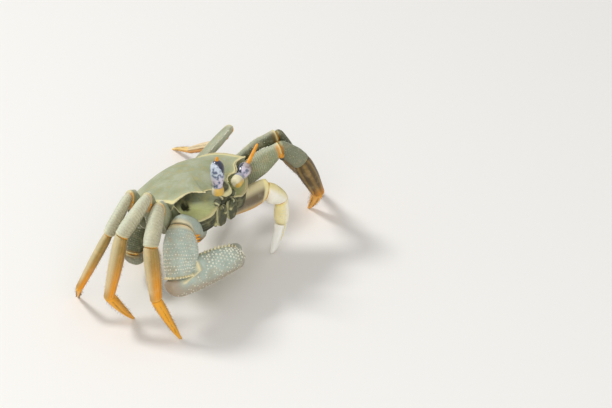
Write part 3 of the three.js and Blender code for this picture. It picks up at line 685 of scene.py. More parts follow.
# outline places, or distances, over which a colour comes and goes, among them the painted shade of the lobe,
# the socket's shelf and hollow, the face and the skirt, and the painted sunlight on the socket's floor
carapacePaint = {
    "creamRim": (2.4, 3.2, 15.5, 18), "crestRim": (2, 3, 12, 14), "frontEnd": (10.5, 12),
    "lobeEnd": (1.6, 2.4), "lobeEdge": (0.78, 0.83), "domeRim": (0.952, 0.972),
    "sideEnd": (1.5, 3.5), "shelfShade": (0.03, 0.08, 0.5, 0.6), "floor": (0.54, 0.64),
    "hollowShade": (5.3, 0.6), "hollowEdge": (0.036, 0.05), "skirtBands": 0.22,
}
margin = [
    (0, -0.51, -0.035), (0.045, -0.5, -0.03), (0.075, -0.47, 0), (0.095, -0.42, 0.045),
    (0.136, -0.393, 0.055), (0.177, -0.397, 0.061), (0.21, -0.43, 0.072), (0.245, -0.41, 0.085),
    (0.285, -0.37, 0.1), (0.335, -0.35, 0.106), (0.41, -0.335, 0.097), (0.487, -0.312, 0.0755),
    (0.487, -0.25, 0.074), (0.497, -0.16, 0.072), (0.505, -0.05, 0.065), (0.495, 0.07, 0.05),
    (0.45, 0.18, 0.02), (0.36, 0.27, -0.015), (0.24, 0.335, -0.04), (0.2, 0.36, -0.05),
    (0.1, 0.365, -0.05), (0, 0.367, -0.05),
]
crest = [
    (0, -0.435, -0.095), (0.035, -0.435, -0.095), (0.07, -0.435, -0.1), (0.11, -0.445, -0.11),
    (0.157, -0.46, -0.12), (0.2, -0.455, -0.14), (0.235, -0.445, -0.145), (0.31, -0.42, -0.145),
    (0.365, -0.395, -0.12), (0.41, -0.365, -0.08), (0.447, -0.335, -0.02), (0.475, -0.305, 0.045),
    (0.46, -0.25, -0.01), (0.445, -0.16, -0.05), (0.43, -0.05, -0.06), (0.41, 0.07, -0.07),
    (0.375, 0.17, -0.08), (0.305, 0.255, -0.09), (0.22, 0.315, -0.1), (0.18, 0.335, -0.11),
    (0.09, 0.34, -0.11), (0, 0.342, -0.11),
]
lowerEdge = [
    (0, -0.405, -0.27), (0.04, -0.405, -0.27), (0.08, -0.407, -0.27), (0.125, -0.412, -0.268),
    (0.17, -0.42, -0.265), (0.21, -0.42, -0.265), (0.245, -0.413, -0.268), (0.285, -0.395, -0.268),
    (0.318, -0.37, -0.25), (0.338, -0.345, -0.22), (0.345, -0.32, -0.195), (0.348, -0.29, -0.18),
    (0.345, -0.25, -0.175), (0.335, -0.17, -0.175), (0.325, -0.05, -0.175), (0.315, 0.05, -0.175),
    (0.29, 0.13, -0.175), (0.24, 0.2, -0.175), (0.19, 0.245, -0.175), (0.15, 0.265, -0.175),
    (0.08, 0.28, -0.175), (0, 0.28, -0.175),
]


def domeTurns():
    # the turn round the dome's middle of each place of the margin, from the front to the back
    turns = [math.degrees(math.atan2(place[0], carapace["domeCentreY"] - place[1])) for place in margin]
    for i in range(1, len(turns)):
        turns[i] = max(turns[i], turns[i - 1] + carapace["leastTurn"])
    return [math.radians(turn * 180 / turns[-1]) for turn in turns]


def domeGrooves(x, y):
    # the H-shaped furrow over the heart, the neck furrow that runs out from it and the
    # swellings between them
    x = abs(x)
    stem = hump(x, 0.085 + 0.25 * (y - 0.02) ** 2, 0.016) * hump(y, 0.05, 0.13)
    neck = hump(y, -0.02 - 0.55 * (x - 0.08) + 0.6 * (x - 0.08) ** 2, 0.018) \
        * between(x, 0.05, 0.1, 0.22, 0.34)
    bar = hump(y, 0.02, 0.02) * (1 - eased(x, 0.06, 0.1)) * 0.6
    swelling = 0.8 * hump(x, 0.3, 0.13) * hump(y, 0.07, 0.17) \
        + 0.5 * hump(x, 0, 0.07) * hump(y, -0.16, 0.1)
    return carapace["grooveDepth"] * (swelling - stem - 0.35 * neck - bar)


turnsOfDome = domeTurns()


def domeHeight(x, y):
    # the height over a place, falling to the margin's height there with its corners eased
    acrossX, acrossY = carapace["domeOval"]
    across, ahead = x / acrossX, (carapace["domeCentreY"] - y) / acrossY
    turn = math.atan2(abs(across), ahead)
    i = max(k for k in range(len(turnsOfDome) - 1) if turnsOfDome[k] <= turn)
    t = i + (turn - turnsOfDome[i]) / (turnsOfDome[i + 1] - turnsOfDome[i])
    reach = carapace["cornerReach"]
    near = [through(margin, min(abs(t + step), len(margin) - 1)).z for step in range(-reach, reach + 1)]
    drop = sum(near) / len(near) - carapace["domeTop"]
    return carapace["domeTop"] + drop * math.hypot(across, ahead) ** carapace["domeFall"]


def domePoint(t, r):
    edge = through(margin, t)
    i = min(int(t), len(turnsOfDome) - 2)
    turn = turnsOfDome[i] + (turnsOfDome[i + 1] - turnsOfDome[i]) * (t - i)
    ovalX = carapace["domeOval"][0] * math.sin(turn)
    ovalY = -carapace["domeOval"][1] * math.cos(turn)
    centreY = carapace["domeCentreY"]
    hold = r ** carapace["outlineHold"]
    x = r * (ovalX + (edge.x - ovalX) * hold)
    y = centreY + r * (ovalY + (edge.y - centreY - ovalY) * hold)
    z = domeHeight(x, y) + (edge.z - domeHeight(edge.x, edge.y)) * r ** carapace["heightHold"]
    return Vector((x, y, z + domeGrooves(x, y) * (1 - r ** carapace["grooveFade"])))


def orbitShare(t):
    return between(t, *carapace["orbitSpan"])


def outwards(point):
    return Vector((point.x, point.y - carapace["domeCentreY"], 0)).normalized()


def wallPoint(t, s):
    # in under the margin, down the back of the socket and out over its floor to the crest
    top, low = through(margin, t), through(crest, t)
    socket = orbitShare(t)
    heart, narrowing = carapace["orbitHeart"], carapace["orbitNarrowing"]
    back = Vector((heart.x + (top.x - heart.x) * narrowing, heart.y, top.z - carapace["orbitRoofDrop"]))
    foot = Vector((back.x, back.y, heart.z))
    path = [top, top.lerp(back, 0.55), back, foot, foot.lerp(low, 0.5) + Vector((0, 0, -0.012)), low]
    point = top.lerp(low, s).lerp(through(path, (len(path) - 1) * s), socket)
    bead = carapace["wallBead"] * (hump(s, 0.0, 0.03) + hump(s, 1.0, 0.03))
    return point + outwards(point) * (bead + carapace["wallBulge"] * math.sin(math.pi * s) * (1 - socket))


def skirtPoint(t, q):
    point = through(crest, t).lerp(through(lowerEdge, t), q)
    bead = carapace["skirtBead"] * hump(q, 0, 0.06)
    return point + outwards(point) * (bead + carapace["skirtBulge"] * math.sin(math.pi * q))


def underPoint(t, q):
    # in from the lower edge, with a lip, to the roof over the legs
    low, centreY = through(lowerEdge, t), carapace["underCentreY"]
    level = low.z if q > carapace["underLip"] else carapace["roof"]
    return Vector((low.x * q, (low.y - centreY) * q + centreY, level))


def carapaceMarks(t, kind, value):
    # a front lobe painted dark as shade where it bends down, cream rims, painted shade on the socket's shelf,
    # down the face beside the front and black in the socket's hollow, a floor painted pale as sunlit, and
    # painted shade down the front of the skirt crossed by thin paler bands
    paint, socket = carapacePaint, orbitShare(t)
    front = 1 - eased(t, *paint["frontEnd"])
    beside, crested = between(t, *paint["creamRim"]), between(t, *paint["crestRim"])
    if kind == "dome":
        # painted shade: the front lobe is darkened where it bends down
        lobe = (1 - eased(t, *paint["lobeEnd"])) * eased(value, *paint["lobeEdge"])
        rim = eased(value, *paint["domeRim"]) * max(beside, 0.8 * lobe)
        return (0, rim, 0.95 * lobe * (1 - rim), 0.15 * eased(value, 0.8, 1) * (1 - lobe))
    if kind == "wall":
        # painted shade under the margin on the socket's shelf, black painted shade in its deep hollow and
        # down the face beside the front; painted sunlight makes the socket's floor pale
        rim = beside * (1 - eased(value, 0.04, 0.07)) + eased(value, 0.93, 0.96) * crested
        shelfShade = socket * between(value, *paint["shelfShade"])
        away = (wallPoint(t, value) - wallPoint(*paint["hollowShade"])).length
        hollowShade = 1 - eased(away, *paint["hollowEdge"])
        side = (1 - socket) * front * 0.95 * (1 - eased(t, *paint["sideEnd"]))
        floor = socket * eased(value, *paint["floor"])
        return (0, min(rim, 1), min(0.85 * shelfShade + 1.2 * hollowShade + side, 1), floor * (1 - hollowShade))
    if kind == "skirt":
        # painted shade down the front of the skirt, crossed by thin paler bands
        bands = paint["skirtBands"]
        rim = (1 - eased(value, 0.01, 0.06)) * crested
        band = front * (0.95 - 0.3 * hump(value % bands, bands / 2, 0.03))
        return (0, rim, band, 0.15 * (1 - front))
    return (0, 0, 0, 0.6)


def buildCarapace():
    steps, places = carapace["stepsPerPlace"], len(margin) - 1
    stops = [i / steps for i in range(steps * places + 1)]
    around = [(t, 1) for t in stops] + [(t, -1) for t in reversed(stops[1:-1])]
    inner, crowding = carapace["innerRing"], carapace["ringCrowding"]
    rows = [("dome", inner + (1 - inner) * (i / carapace["domeRings"]) ** crowding, domePoint)
            for i in range(carapace["domeRings"] + 1)]
    for kind, pointAt in (("wall", wallPoint), ("skirt", skirtPoint)):
        count = carapace[kind + "Rings"]
        rows += [(kind, i / count, pointAt) for i in range(1, count + 1)]
    rows += [("under", q, underPoint) for q in carapace["underRings"]]
    rings, marks, lengths = [], [], [0.0]
    for kind, value, pointAt in rows:
        half = {t: pointAt(t, value) for t in stops}
        rings.append([onBody(side * half[t].x, half[t].y, half[t].z) for t, side in around])
        marks.append([carapaceMarks(t, kind, value) for t, side in around])
    middle = len(stops) // 2
    for before, ring in zip(rings, rings[1:]):
        lengths.append(lengths[-1] + (ring[middle] - before[middle]).length)
    thing = ringMesh("carapaceShell", rings, marks, lengths, carapace["girth"] * width)
    settle(thing, granulatedShell, ("carapace",))
    buildRimBeads()
    print("carapace built")


def buildRimBeads():
    # one small cream granule after another along the margin and the crest
    seats = []
    for value, first, last, gap in carapace["beadRows"]:
        for side in (1, -1):
            t, previous = first, None
            while t < last:
                p = wallPoint(t, value)
                spot = onBody(side * p.x, p.y, p.z)
                if previous is None or (spot - previous).length > gap:
                    facing = (spot - onBody(0, carapace["domeCentreY"], p.z - 0.04)).normalized()
                    seats.append((spot, facing, 1.0))
                    previous = spot
                t += carapace["beadSearch"]
    grow("carapaceRimBeads", seats, tubercleTree, creamEnamel,
         radius=0.17, height=0.2, variation=0.25, lean=0.1, seed=3)


# Underside: the sternum that carries the legs, and the narrow tail folded under it
underside = {
    "levels": ((-0.184, 1.0), (-0.215, 1.0), (-0.25, 0.97), (-0.28, 0.9), (-0.3, 0.82)),
    "edge": [(0, -0.345), (0.13, -0.345), (0.19, -0.33), (0.235, -0.285), (0.265, -0.2), (0.265, -0.05),
             (0.255, 0.08), (0.22, 0.17), (0.16, 0.24), (0.08, 0.27), (0, 0.272)],
    "sutures": (-0.2, -0.1, 0.0, 0.1), "sutureDepth": 0.012, "steps": 6, "floorRings": 12,
    "tailPath": [(0.345, -0.2, 0.11), (0.33, -0.26, 0.105), (0.28, -0.32, 0.095),
                 (0.16, -0.342, 0.08), (0.02, -0.342, 0.055), (-0.12, -0.335, 0.03)],
    "tailHalfThickness": 0.016, "tailPlates": 7, "tailRings": 70, "tailRound": 28,
}


def buildUnderside():
    edge, centreY = underside["edge"], carapace["underCentreY"]
    stops = [i / underside["steps"] for i in range(underside["steps"] * (len(edge) - 1) + 1)]
    half = [through([(x, y, 0) for x, y in edge], t) for t in stops]
    loop = [(p.x, p.y) for p in half] + [(-p.x, p.y) for p in reversed(half[1:-1])]
    rings, marks = [], []
    floorLevel, floorSpread = underside["levels"][-1]
    floorRings = underside["floorRings"]
    rows = list(underside["levels"])
    rows += [(floorLevel - 0.006, floorSpread * k / floorRings) for k in range(floorRings - 1, 0, -1)]
    for z, spread in rows:
        ring = []
        for x, y in loop:
            px, py = x * spread, (y - centreY) * spread + centreY
            groove = sum(hump(py + 0.6 * abs(px), s, 0.012) for s in underside["sutures"])
            onFloor = z < floorLevel + 0.01
            lift = groove * underside["sutureDepth"] * eased(abs(px), 0.03, 0.08) if onFloor else 0
            ring.append(onBody(px, py, z + lift))
        rings.append(ring)
        marks.append([(0.15, 0, 0, 0.55)] * len(ring))
    settle(ringMesh("sternumPlate", rings, marks, [z * width for z, spread in rows]), granulatedShell,
           ("sternum",))
    buildTail()
    print("underside built")


def buildTail():
    path, count, around = underside["tailPath"], underside["tailRings"], underside["tailRound"]
    rings, marks = [], []
    for i in range(count + 1):
        t = (len(path) - 1) * i / count
        y, z, halfWidth = through(path, t)
        ahead = through(path, min(t + 0.05, len(path) - 1)) - through(path, max(t - 0.05, 0))
        span = math.hypot(ahead.x, ahead.y)
        share = (i / count * underside["tailPlates"]) % 1  # each plate laps the next
        lap = 0.8 + 0.35 * between(share, 0, 0.15, 0.82, 1)
        ring = []
        for k in range(around):
            c, s = math.cos(2 * math.pi * k / around), math.sin(2 * math.pi * k / around)
            across = math.copysign(abs(c) ** 0.6, c) * halfWidth * (0.96 + 0.05 * lap)
            proud = math.copysign(abs(s) ** 0.8, s) * underside["tailHalfThickness"] * lap
            ring.append(onBody(across, y - ahead.y / span * proud, z + ahead.x / span * proud))
        rings.append(ring)
        marks.append([(0.1, 0.5 if share < 0.1 else 0, 0, 0.7)] * around)
    settle(ringMesh("foldedTail", rings, marks, [i * 0.4 * mm for i in range(count + 1)]),
           granulatedShell, ("abdomen",))


# Eyes. Each stands on a bulb beside the front; the right one is raised, the left one lies
# back in its socket, and its horn is whole while the right one is worn to a stub.
eyes = {
    # bareSide is the way the bare cornea faces and bareFrom how far from the eye's middle it
    # starts; stalkShare is the bulb's part of the length and warmth how brown the skin is
    "right": {"base": (-0.107, -0.479, 0.012), "tip": (-0.1, -0.525, 0.33),
              "hornTip": (-0.097, -0.53, 0.358), "stalkShare": 0.25,
              "bareSide": Vector((0.9, -0.23, 0.46)), "bareFrom": 1.0 * mm, "warmth": 0.0},
    "left": {"base": (0.131, -0.474, 0.001), "tip": (0.38, -0.42, 0.062),
             "hornTip": (0.53, -0.445, 0.2), "stalkShare": 0.45,
             "bareSide": Vector((-0.45, 0.75, 0.25)), "bareFrom": 0.85 * mm, "warmth": 0.6},
    "radius": 0.05, "hornRadius": 0.018,
    "skinEdge": 2.4 * mm,  # over which the cornea gives way to skin
    "goldSide": fromView(6.11, -30),  # the bulbs are gold below, towards the front
    "overlap": 0.05 * mm, "hornRoot": 0.6 * mm,
}
eyeProfiles = {
    "stalk": [(0, 0.65, 0.65), (0.14, 0.98, 0.98), (0.4, 1.04, 1.04), (0.68, 0.98, 0.98),
              (0.88, 0.84, 0.84), (1, 0.83, 0.83)],
    "eye": [(0, 0.83, 0.83), (0.14, 0.93, 0.93), (0.34, 1.14, 1.14), (0.62, 1.21, 1.21), (0.79, 1.1, 1.1),
            (0.91, 0.84, 0.84), (0.97, 0.56, 0.56), (1, 0.3, 0.3)],
    "horn": [(0, 1.25, 1.25), (0.15, 1, 1), (0.6, 0.82, 0.82), (0.93, 0.64, 0.64), (1, 0.4, 0.4)],
}


def buildEyes():
    for sideName, side in sides:
        part = eyes[sideName]
        root, end, point = [onBody(*part[key]) for key in ("base", "tip", "hornTip")]
        split = root.lerp(end, part["stalkShare"])
        size = eyes["radius"] * width
        up = bodyTurn @ Vector((0, 1, 0.4))
        stalk = limbShape(root, split, up, eyeProfiles["stalk"], size, size, power=2)
        along = stalk["along"]
        eye = limbShape(split - along * eyes["overlap"], end, up, eyeProfiles["eye"], size, size, power=2)
        bareSide = part["bareSide"].normalized()

        def stalkMarks(place, turn):
            # the bulb is tan on the raised eye, and white with a gold foot on the other
            way = stalk["rise"] * math.cos(turn) + stalk["out"] * math.sin(turn)
            low = way.dot(eyes["goldSide"])
            if side < 0:
                bulb, gold = 1 - eased(place, 0.86, 0.96), eased(low, -0.5, 0.2)
                return (0.95 * bulb * gold, 0, 0.12 * bulb * (1 - gold), 0.8 * bulb * (1 - gold))
            bulb, gold = 1 - eased(place, 0.5, 0.62), eased(low, 0.25, 0.6)
            return (0.95 * bulb * gold, hump(place, 0.52, 0.03), 0, bulb * (1 - gold))

        def eyeMarks(place, turn):
            # bare cornea on one side of a plane through the eye, stalk skin over the rest
            beyond = (eye["at"](place, turn) - (eye["a"] + eye["b"]) / 2).dot(bareSide) - part["bareFrom"]
            return (min(max(0.5 - beyond / eyes["skinEdge"], 0), 1),
                    part["warmth"] * eased(place, 0.2, 0.6), 1 - eased(place, 0.25, 0.55), 0)

        settle(shapeMesh(sideName + "EyeStalk", stalk, 30, 36, stalkMarks, 0.5 * mm), stalkSkin,
               (sideName + "_eyestalk",))
        settle(shapeMesh(sideName + "EyeCornea", eye, 36, 40, eyeMarks, 0.1 * mm), corneaGlaze,
               (sideName + "_eye",))
        hornSize = eyes["hornRadius"] * width
        horn = limbShape(end - (point - end).normalized() * eyes["hornRoot"], point, up,
                         eyeProfiles["horn"], hornSize, hornSize, power=2)
        settle(shapeMesh(sideName + "EyeHorn", horn, 24, 16, None, 0.1 * mm), hornChitin,
               (sideName + "_horn",))
    print("eyes built")


# Limbs. The same tables as the solids: lengths, section sizes and poses.
legPairs = [
    {"lengths": (0.648, 0.316, 0.481, 0.431), "depth": 0.22, "thickness": 0.113,
     "hip": (0.285, -0.1, -0.24), "base": (0.35, -0.1, -0.25)},
    {"lengths": (0.772, 0.351, 0.565, 0.458), "depth": 0.235, "thickness": 0.104,
     "hip": (0.285, 0.035, -0.25), "base": (0.36, 0.04, -0.27)},
    {"lengths": (0.683, 0.361, 0.544, 0.421), "depth": 0.225, "thickness": 0.1,
     "hip": (0.265, 0.155, -0.24), "base": (0.335, 0.175, -0.255)},
    {"lengths": (0.43, 0.24, 0.338, 0.313), "depth": 0.23, "thickness": 0.1,
     "hip": (0.165, 0.28, -0.25), "base": (0.216, 0.318, -0.262)},
]
legPoses = {
    "right": [
        {"merus": (28, 46), "carpus": (21, -43), "propodus": (64, -81), "dactyl": 126},
        {"merus": (31, 50), "carpus": (-16, -43), "propodus": (-24, -76), "dactyl": -184},
        {"merus": (22, 50), "carpus": (-32, -59), "propodus": (-34, -60), "dactyl": -135, "slim": 0.72},
        {"merus": (27, -15), "carpus": (-142, -42), "propodus": (-157, -20), "dactyl": -156,
         "twist": 75, "knee": 0.5},
    ],
    "left": [
        {"merus": (38.5, 36), "carpus": (12, -43), "propodus": (7, -62), "dactyl": -53, "slim": 1.12},
        {"merus": (38.5, 39.5), "carpus": (-9, -56), "propodus": (0, -51), "dactyl": -31, "slim": 0.85},
        {"merus": (-5, 10), "carpus": (-73, -49), "propodus": (-66, -32), "dactyl": -64,
         "base": (0.36, 0.27, -0.13), "twist": 40, "slim": 0.6},
        {"merus": (-23, -2), "carpus": (-30, -24), "propodus": (-39, -54), "dactyl": -37, "knee": 0.5},
    ],
}
kneeShare = 0.3  # how much of the turn at a knee the merus makes, unless the pose says
clawArms = {
    "right": {"base": (0.16, -0.264, -0.33), "lengths": (0.455, 0.415, 0.785), "merus": (0.23, 0.2),
              "carpus": (0.29, 0.28), "hand": 0.33, "palm": "largePalm", "finger": "largeFinger",
              "pose": ((14, 33.2), (33, -58), (165, -7)), "handUp": (0.05, 0.3, 0.95),
              "elbowShare": 0.72, "wristShare": 0.14, "wristClear": 0.12 * width,
              "shell": tuberculateShell, "slot": "large_claw_shell", "ridgeHeight": 0.4 * mm,
              # tubercles: size, gap, how close they stand on the carpus and which way they face there
              "tubercleSize": 1.0, "tubercleGap": 1.3 * mm, "crowding": 1.35, "carpusFace": (-45, 20)},
    "left": {"base": (0.13, -0.26, -0.29), "lengths": (0.44, 0.225, 0.52), "merus": (0.22, 0.15),
             "carpus": (0.165, 0.15), "hand": 0.185, "palm": "smallPalm", "finger": "smallFinger",
             "pose": ((25, 13), (24, -44), (-168, -78)), "handUp": (-0.8, -0.1, 0.25),
             "elbowShare": 0.5, "wristShare": 0.5, "wristClear": None,
             "shell": ivoryShell, "slot": "small_claw_shell", "ridgeHeight": 0.15 * mm,
             "tubercleSize": 0.45, "tubercleGap": 0.95 * mm, "crowding": 3, "carpusFace": (30, 20)},
}
ridgePlace = 0.022  # where the raised edge at the hand's near end lies
# Sections along each kind of plate, in the rows that smoothRows reads
profiles = {
    "coxa": [(0, 0.26, 0.42), (0.5, 0.28, 0.44), (1, 0.21, 0.36)],
    "legMerus": [(0, 0.2, 0.32), (0.15, 0.3, 0.4, 0.01), (0.4, 0.45, 0.49, 0.03),
                 (0.68, 0.46, 0.5, 0.02), (0.88, 0.34, 0.45), (1, 0.26, 0.41)],
    "legCarpus": [(0, 0.26, 0.44), (0.3, 0.31, 0.55, 0.02), (0.75, 0.36, 0.58, 0.02), (1, 0.33, 0.52)],
    "legPropodus": [(0, 0.31, 0.5), (0.2, 0.34, 0.56, 0.01), (0.5, 0.32, 0.54, 0.02),
                    (0.8, 0.26, 0.46, 0.01), (1, 0.22, 0.4)],
    "legDactyl": [(0, 0.2, 0.38), (0.2, 0.19, 0.36, 0.02), (0.5, 0.155, 0.28, 0.04),
                  (0.8, 0.1, 0.19, 0.03), (1, 0.05, 0.12)],
    "clawMerus": [(0, 0.28, 0.3), (0.3, 0.4, 0.42), (0.7, 0.48, 0.5), (1, 0.42, 0.46)],
    "clawCarpus": [(0, 0.34, 0.34), (0.16, 0.44, 0.44), (0.42, 0.52, 0.51), (0.68, 0.49, 0.48),
                   (0.87, 0.41, 0.42), (1, 0.33, 0.36)],
    "largePalm": [(0, 0.42, 0.3), (0.12, 0.46, 0.34), (0.3, 0.46, 0.36, 0.02), (0.5, 0.41, 0.35, 0.06),
                  (0.64, 0.35, 0.32, 0.08, -0.01), (0.74, 0.28, 0.28, 0.05, -0.06, 12),
                  (0.82, 0.17, 0.22, -0.09, -0.2, 35), (0.87, 0.15, 0.18, -0.14, -0.42, 60),
                  (0.9, 0.12, 0.14, -0.15, -0.68, 82), (0.895, 0.09, 0.09, -0.13, -0.92, 96),
                  (0.87, 0.035, 0.035, -0.1, -1.12, 105)],
    "largeFinger": [(0.79, 0.16, 0.17, 0.2, -0.12, 28), (0.855, 0.16, 0.17, 0.2, -0.32, 52),
                    (0.895, 0.13, 0.14, 0.16, -0.58, 76), (0.905, 0.1, 0.11, 0.1, -0.84, 92),
                    (0.885, 0.035, 0.035, 0.02, -1.08, 105)],
    "smallPalm": [(0, 0.27, 0.26), (0.1, 0.31, 0.3, 0, 0.04), (0.25, 0.34, 0.33, 0, 0.12),
                  (0.36, 0.29, 0.29, -0.02, 0.18), (0.42, 0.16, 0.2, -0.14, 0.2),
                  (0.6, 0.12, 0.17, -0.14, 0.18), (0.8, 0.1, 0.13, -0.12, 0.09),
                  (0.93, 0.07, 0.09, -0.12), (1, 0.035, 0.035, -0.11, -0.06)],
    "smallFinger": [(0.405, 0.15, 0.24, 0.18, 0.18), (0.6, 0.13, 0.22, 0.14, 0.14),
                    (0.8, 0.1, 0.17, 0.09, 0.05), (0.93, 0.07, 0.1, 0.05, -0.03),
                    (1, 0.035, 0.035, 0, -0.08)],
    "mouthPlate": [(0, 0.7, 0.75), (0.2, 1, 1), (0.62, 1, 1), (0.85, 0.9, 0.8), (1, 0.7, 0.5)],
}
ribs = {
    "legMerus": ((0, 0.16, 0.35 * mm, 0.15, 0.96), (2.75, 0.2, 0.22 * mm, 0.15, 0.95),
                 (-2.75, 0.2, 0.22 * mm, 0.15, 0.95)),
    "legCarpus": ((0.25, 0.22, 0.2 * mm, 0.05, 0.95), (-0.9, 0.2, 0.18 * mm, 0.1, 0.9),
                  (1.2, 0.2, 0.18 * mm, 0.1, 0.9)),
    "legPropodus": tuple((turn, 0.17, 0.16 * mm, 0.05, 0.97)
                         for turn in (0, 0.75, 1.5, 2.3, -0.75, -1.5, -2.3, 3.14)),
    "legDactyl": tuple((turn, 0.2, 0.12 * mm, 0.05, 0.85) for turn in (0, 1.05, 2.1, 3.14, -1.05, -2.1)),
    "clawMerus": ((0.15, 0.2, 0.35 * mm, 0.1, 0.95), (-1.9, 0.2, 0.3 * mm, 0.1, 0.95),
                  (2.2, 0.2, 0.3 * mm, 0.1, 0.95)),
}
lip = {"height": 0.13 * mm, "width": 0.5 * mm}  # raised edge at the far end of a leg's plate


def carried(normal, along):
    return (normal - along * normal.dot(along)).normalized()


# A pleated plug of skin that fills a joint from inside one plate to inside the next
plug = {"steps": 14, "round": 20, "pinch": 0.22, "pleats": 5, "pleatDepth": 0.035}


def jointPlug(name, joint, before, after, out, halfHeight, halfThickness, reach):
    rings = []
    for i in range(plug["steps"] + 1):
        share = i / plug["steps"]
        arrival, departure = joint - before * reach, joint + after * reach
        path = arrival.lerp(joint, share).lerp(joint.lerp(departure, share), share)
        along = before.lerp(after, share).normalized()
        side = carried(out, along)
        rise = side.cross(along)
        swell = (1 - plug["pinch"] + plug["pinch"] * math.sin(math.pi * share)) \
            * (1 + plug["pleatDepth"] * math.cos(2 * math.pi * plug["pleats"] * share))
        turns = [2 * math.pi * k / plug["round"] for k in range(plug["round"])]
        rings.append([path + rise * (halfHeight * swell * math.cos(turn))
                      + side * (halfThickness * swell * math.sin(turn)) for turn in turns])
    return ringMesh(name, rings)


def lipRelief(length):
    share = lip["width"] / length
    return lambda place, turn: lip["height"] * hump(place, 1 - share, share)


def legShapes(pairIndex, sideName, side):
    pair, pose = legPairs[pairIndex], legPoses[sideName][pairIndex]
    hip, base = pair["hip"], pose.get("base", pair["base"])
    joints = [onBody(side * hip[0], *hip[1:]), onBody(side * base[0], *base[1:])]
    headings = [(joints[1] - joints[0]).normalized()]
    for i, key in enumerate(("merus", "carpus", "propodus")):
        headings.append(heading(side, *pose[key]))
        joints.append(joints[-1] + headings[-1] * (pair["lengths"][i] * width))
    toeLength = pair["lengths"][3] * width
    headings.append(heading(side, pose["dactyl"], -math.degrees(math.asin(joints[4].z / toeLength))))
    joints.append(joints[4] + headings[4] * toeLength)
    out = headings[1].cross(Vector((0, 0, 1))).normalized()
    out = Quaternion(headings[1], math.radians(pose.get("twist", 0))) @ out
    depth, thickness = pair["depth"] * width, pair["thickness"] * width
    slender = pose.get("slim", 1)
    slims = (1, 1, 0.5 + 0.5 * slender, slender, slender)
    shapes = []
    for i, key in enumerate(("coxa", "legMerus", "legCarpus", "legPropodus", "legDactyl")):
        bends = [bend(headings[j - 1], headings[j], pose.get("knee", kneeShare) if j == 2 else 0.5)
                 if 0 < j < 5 else None for j in (i, i + 1)]
        relief = lipRelief((joints[i + 1] - joints[i]).length) if i < 4 else None
        shapes.append(limbShape(
            joints[i], joints[i + 1], carried(out, headings[i]).cross(headings[i]), profiles[key],
            depth * slims[i], thickness * slims[i], bends[0], bends[1], footed=i == 4,
            ribs=ribs.get(key, ()), relief=relief))
    return shapes, joints, headings, out, depth, thickness


# Leg by leg: where on the shin the orange starts and is full, how dark its furrows are, how much painted
# shade darkens the front of the merus and the carpus, and how much painted light brightens the upper side of
# shin and toe
legTones = {
    "right": ({"orange": (0.1, 0.95)}, {"orange": (0.1, 0.9)}, {"orange": (0.25, 1.0)},
              {"orange": (0.3, 0.9), "furrows": 0.1, "shaded": 0.75}),
    "left": ({"orange": (0.6, 1.0), "furrows": 1.0}, {"orange": (0.5, 1.0), "furrows": 0.5, "shaded": 0.85},
             {"orange": (-0.6, 0.3), "paintedSkyLight": 1}, {"orange": (0.2, 0.9), "shaded": 0.2}),
}
legPlates = (  # section table, material, slot and rings
    ("coxa", granulatedShell, "under_shell", 16), ("legMerus", crossRidgedShell, "upper_leg_shell", 44),
    ("legCarpus", crossRidgedShell, "upper_leg_shell", 30), ("legPropodus", ribbedShell, "shin_shell", 40),
    ("legDactyl", toeShell, "toe_shell", 40),
)
legDress = {
    "plugFill": (0.8, 0.95, 0.9, 0.85), "plugReach": 0.9,  # parts of the plate's end before the joint
    "right": {"ballSize": 0.85, "ballTurn": 1.25}, "left": {"ballSize": 2.1, "ballTurn": 1.5},
    "toothGap": 0.75 * mm, "toothSpan": (0.14, 0.86), "lowerEdges": (2.75, -2.75),
    "granuleGap": 0.9 * mm, "granuleSpread": 1.15,
    "bristleGap": 0.5 * mm, "bristleLean": 0.6, "bristleLength": (1.0, 1.0, 0.7, 0.7),
    "shinFurrows": (2.0, -2.0, 2.65, -2.65), "toeFurrows": (0.5, -0.5, 1.6, -1.6, 2.6, -2.6),
}


# how much a side faces the sky, which sets the painted light on a leg's upper side
def skyShare(shape, turn):
    return eased((shape["rise"] * math.cos(turn) + shape["out"] * math.sin(turn)).z, -0.3, 0.3)


def underShare(turn):
    return eased(abs((turn + math.pi) % (2 * math.pi) - math.pi), 2.2, 2.9)


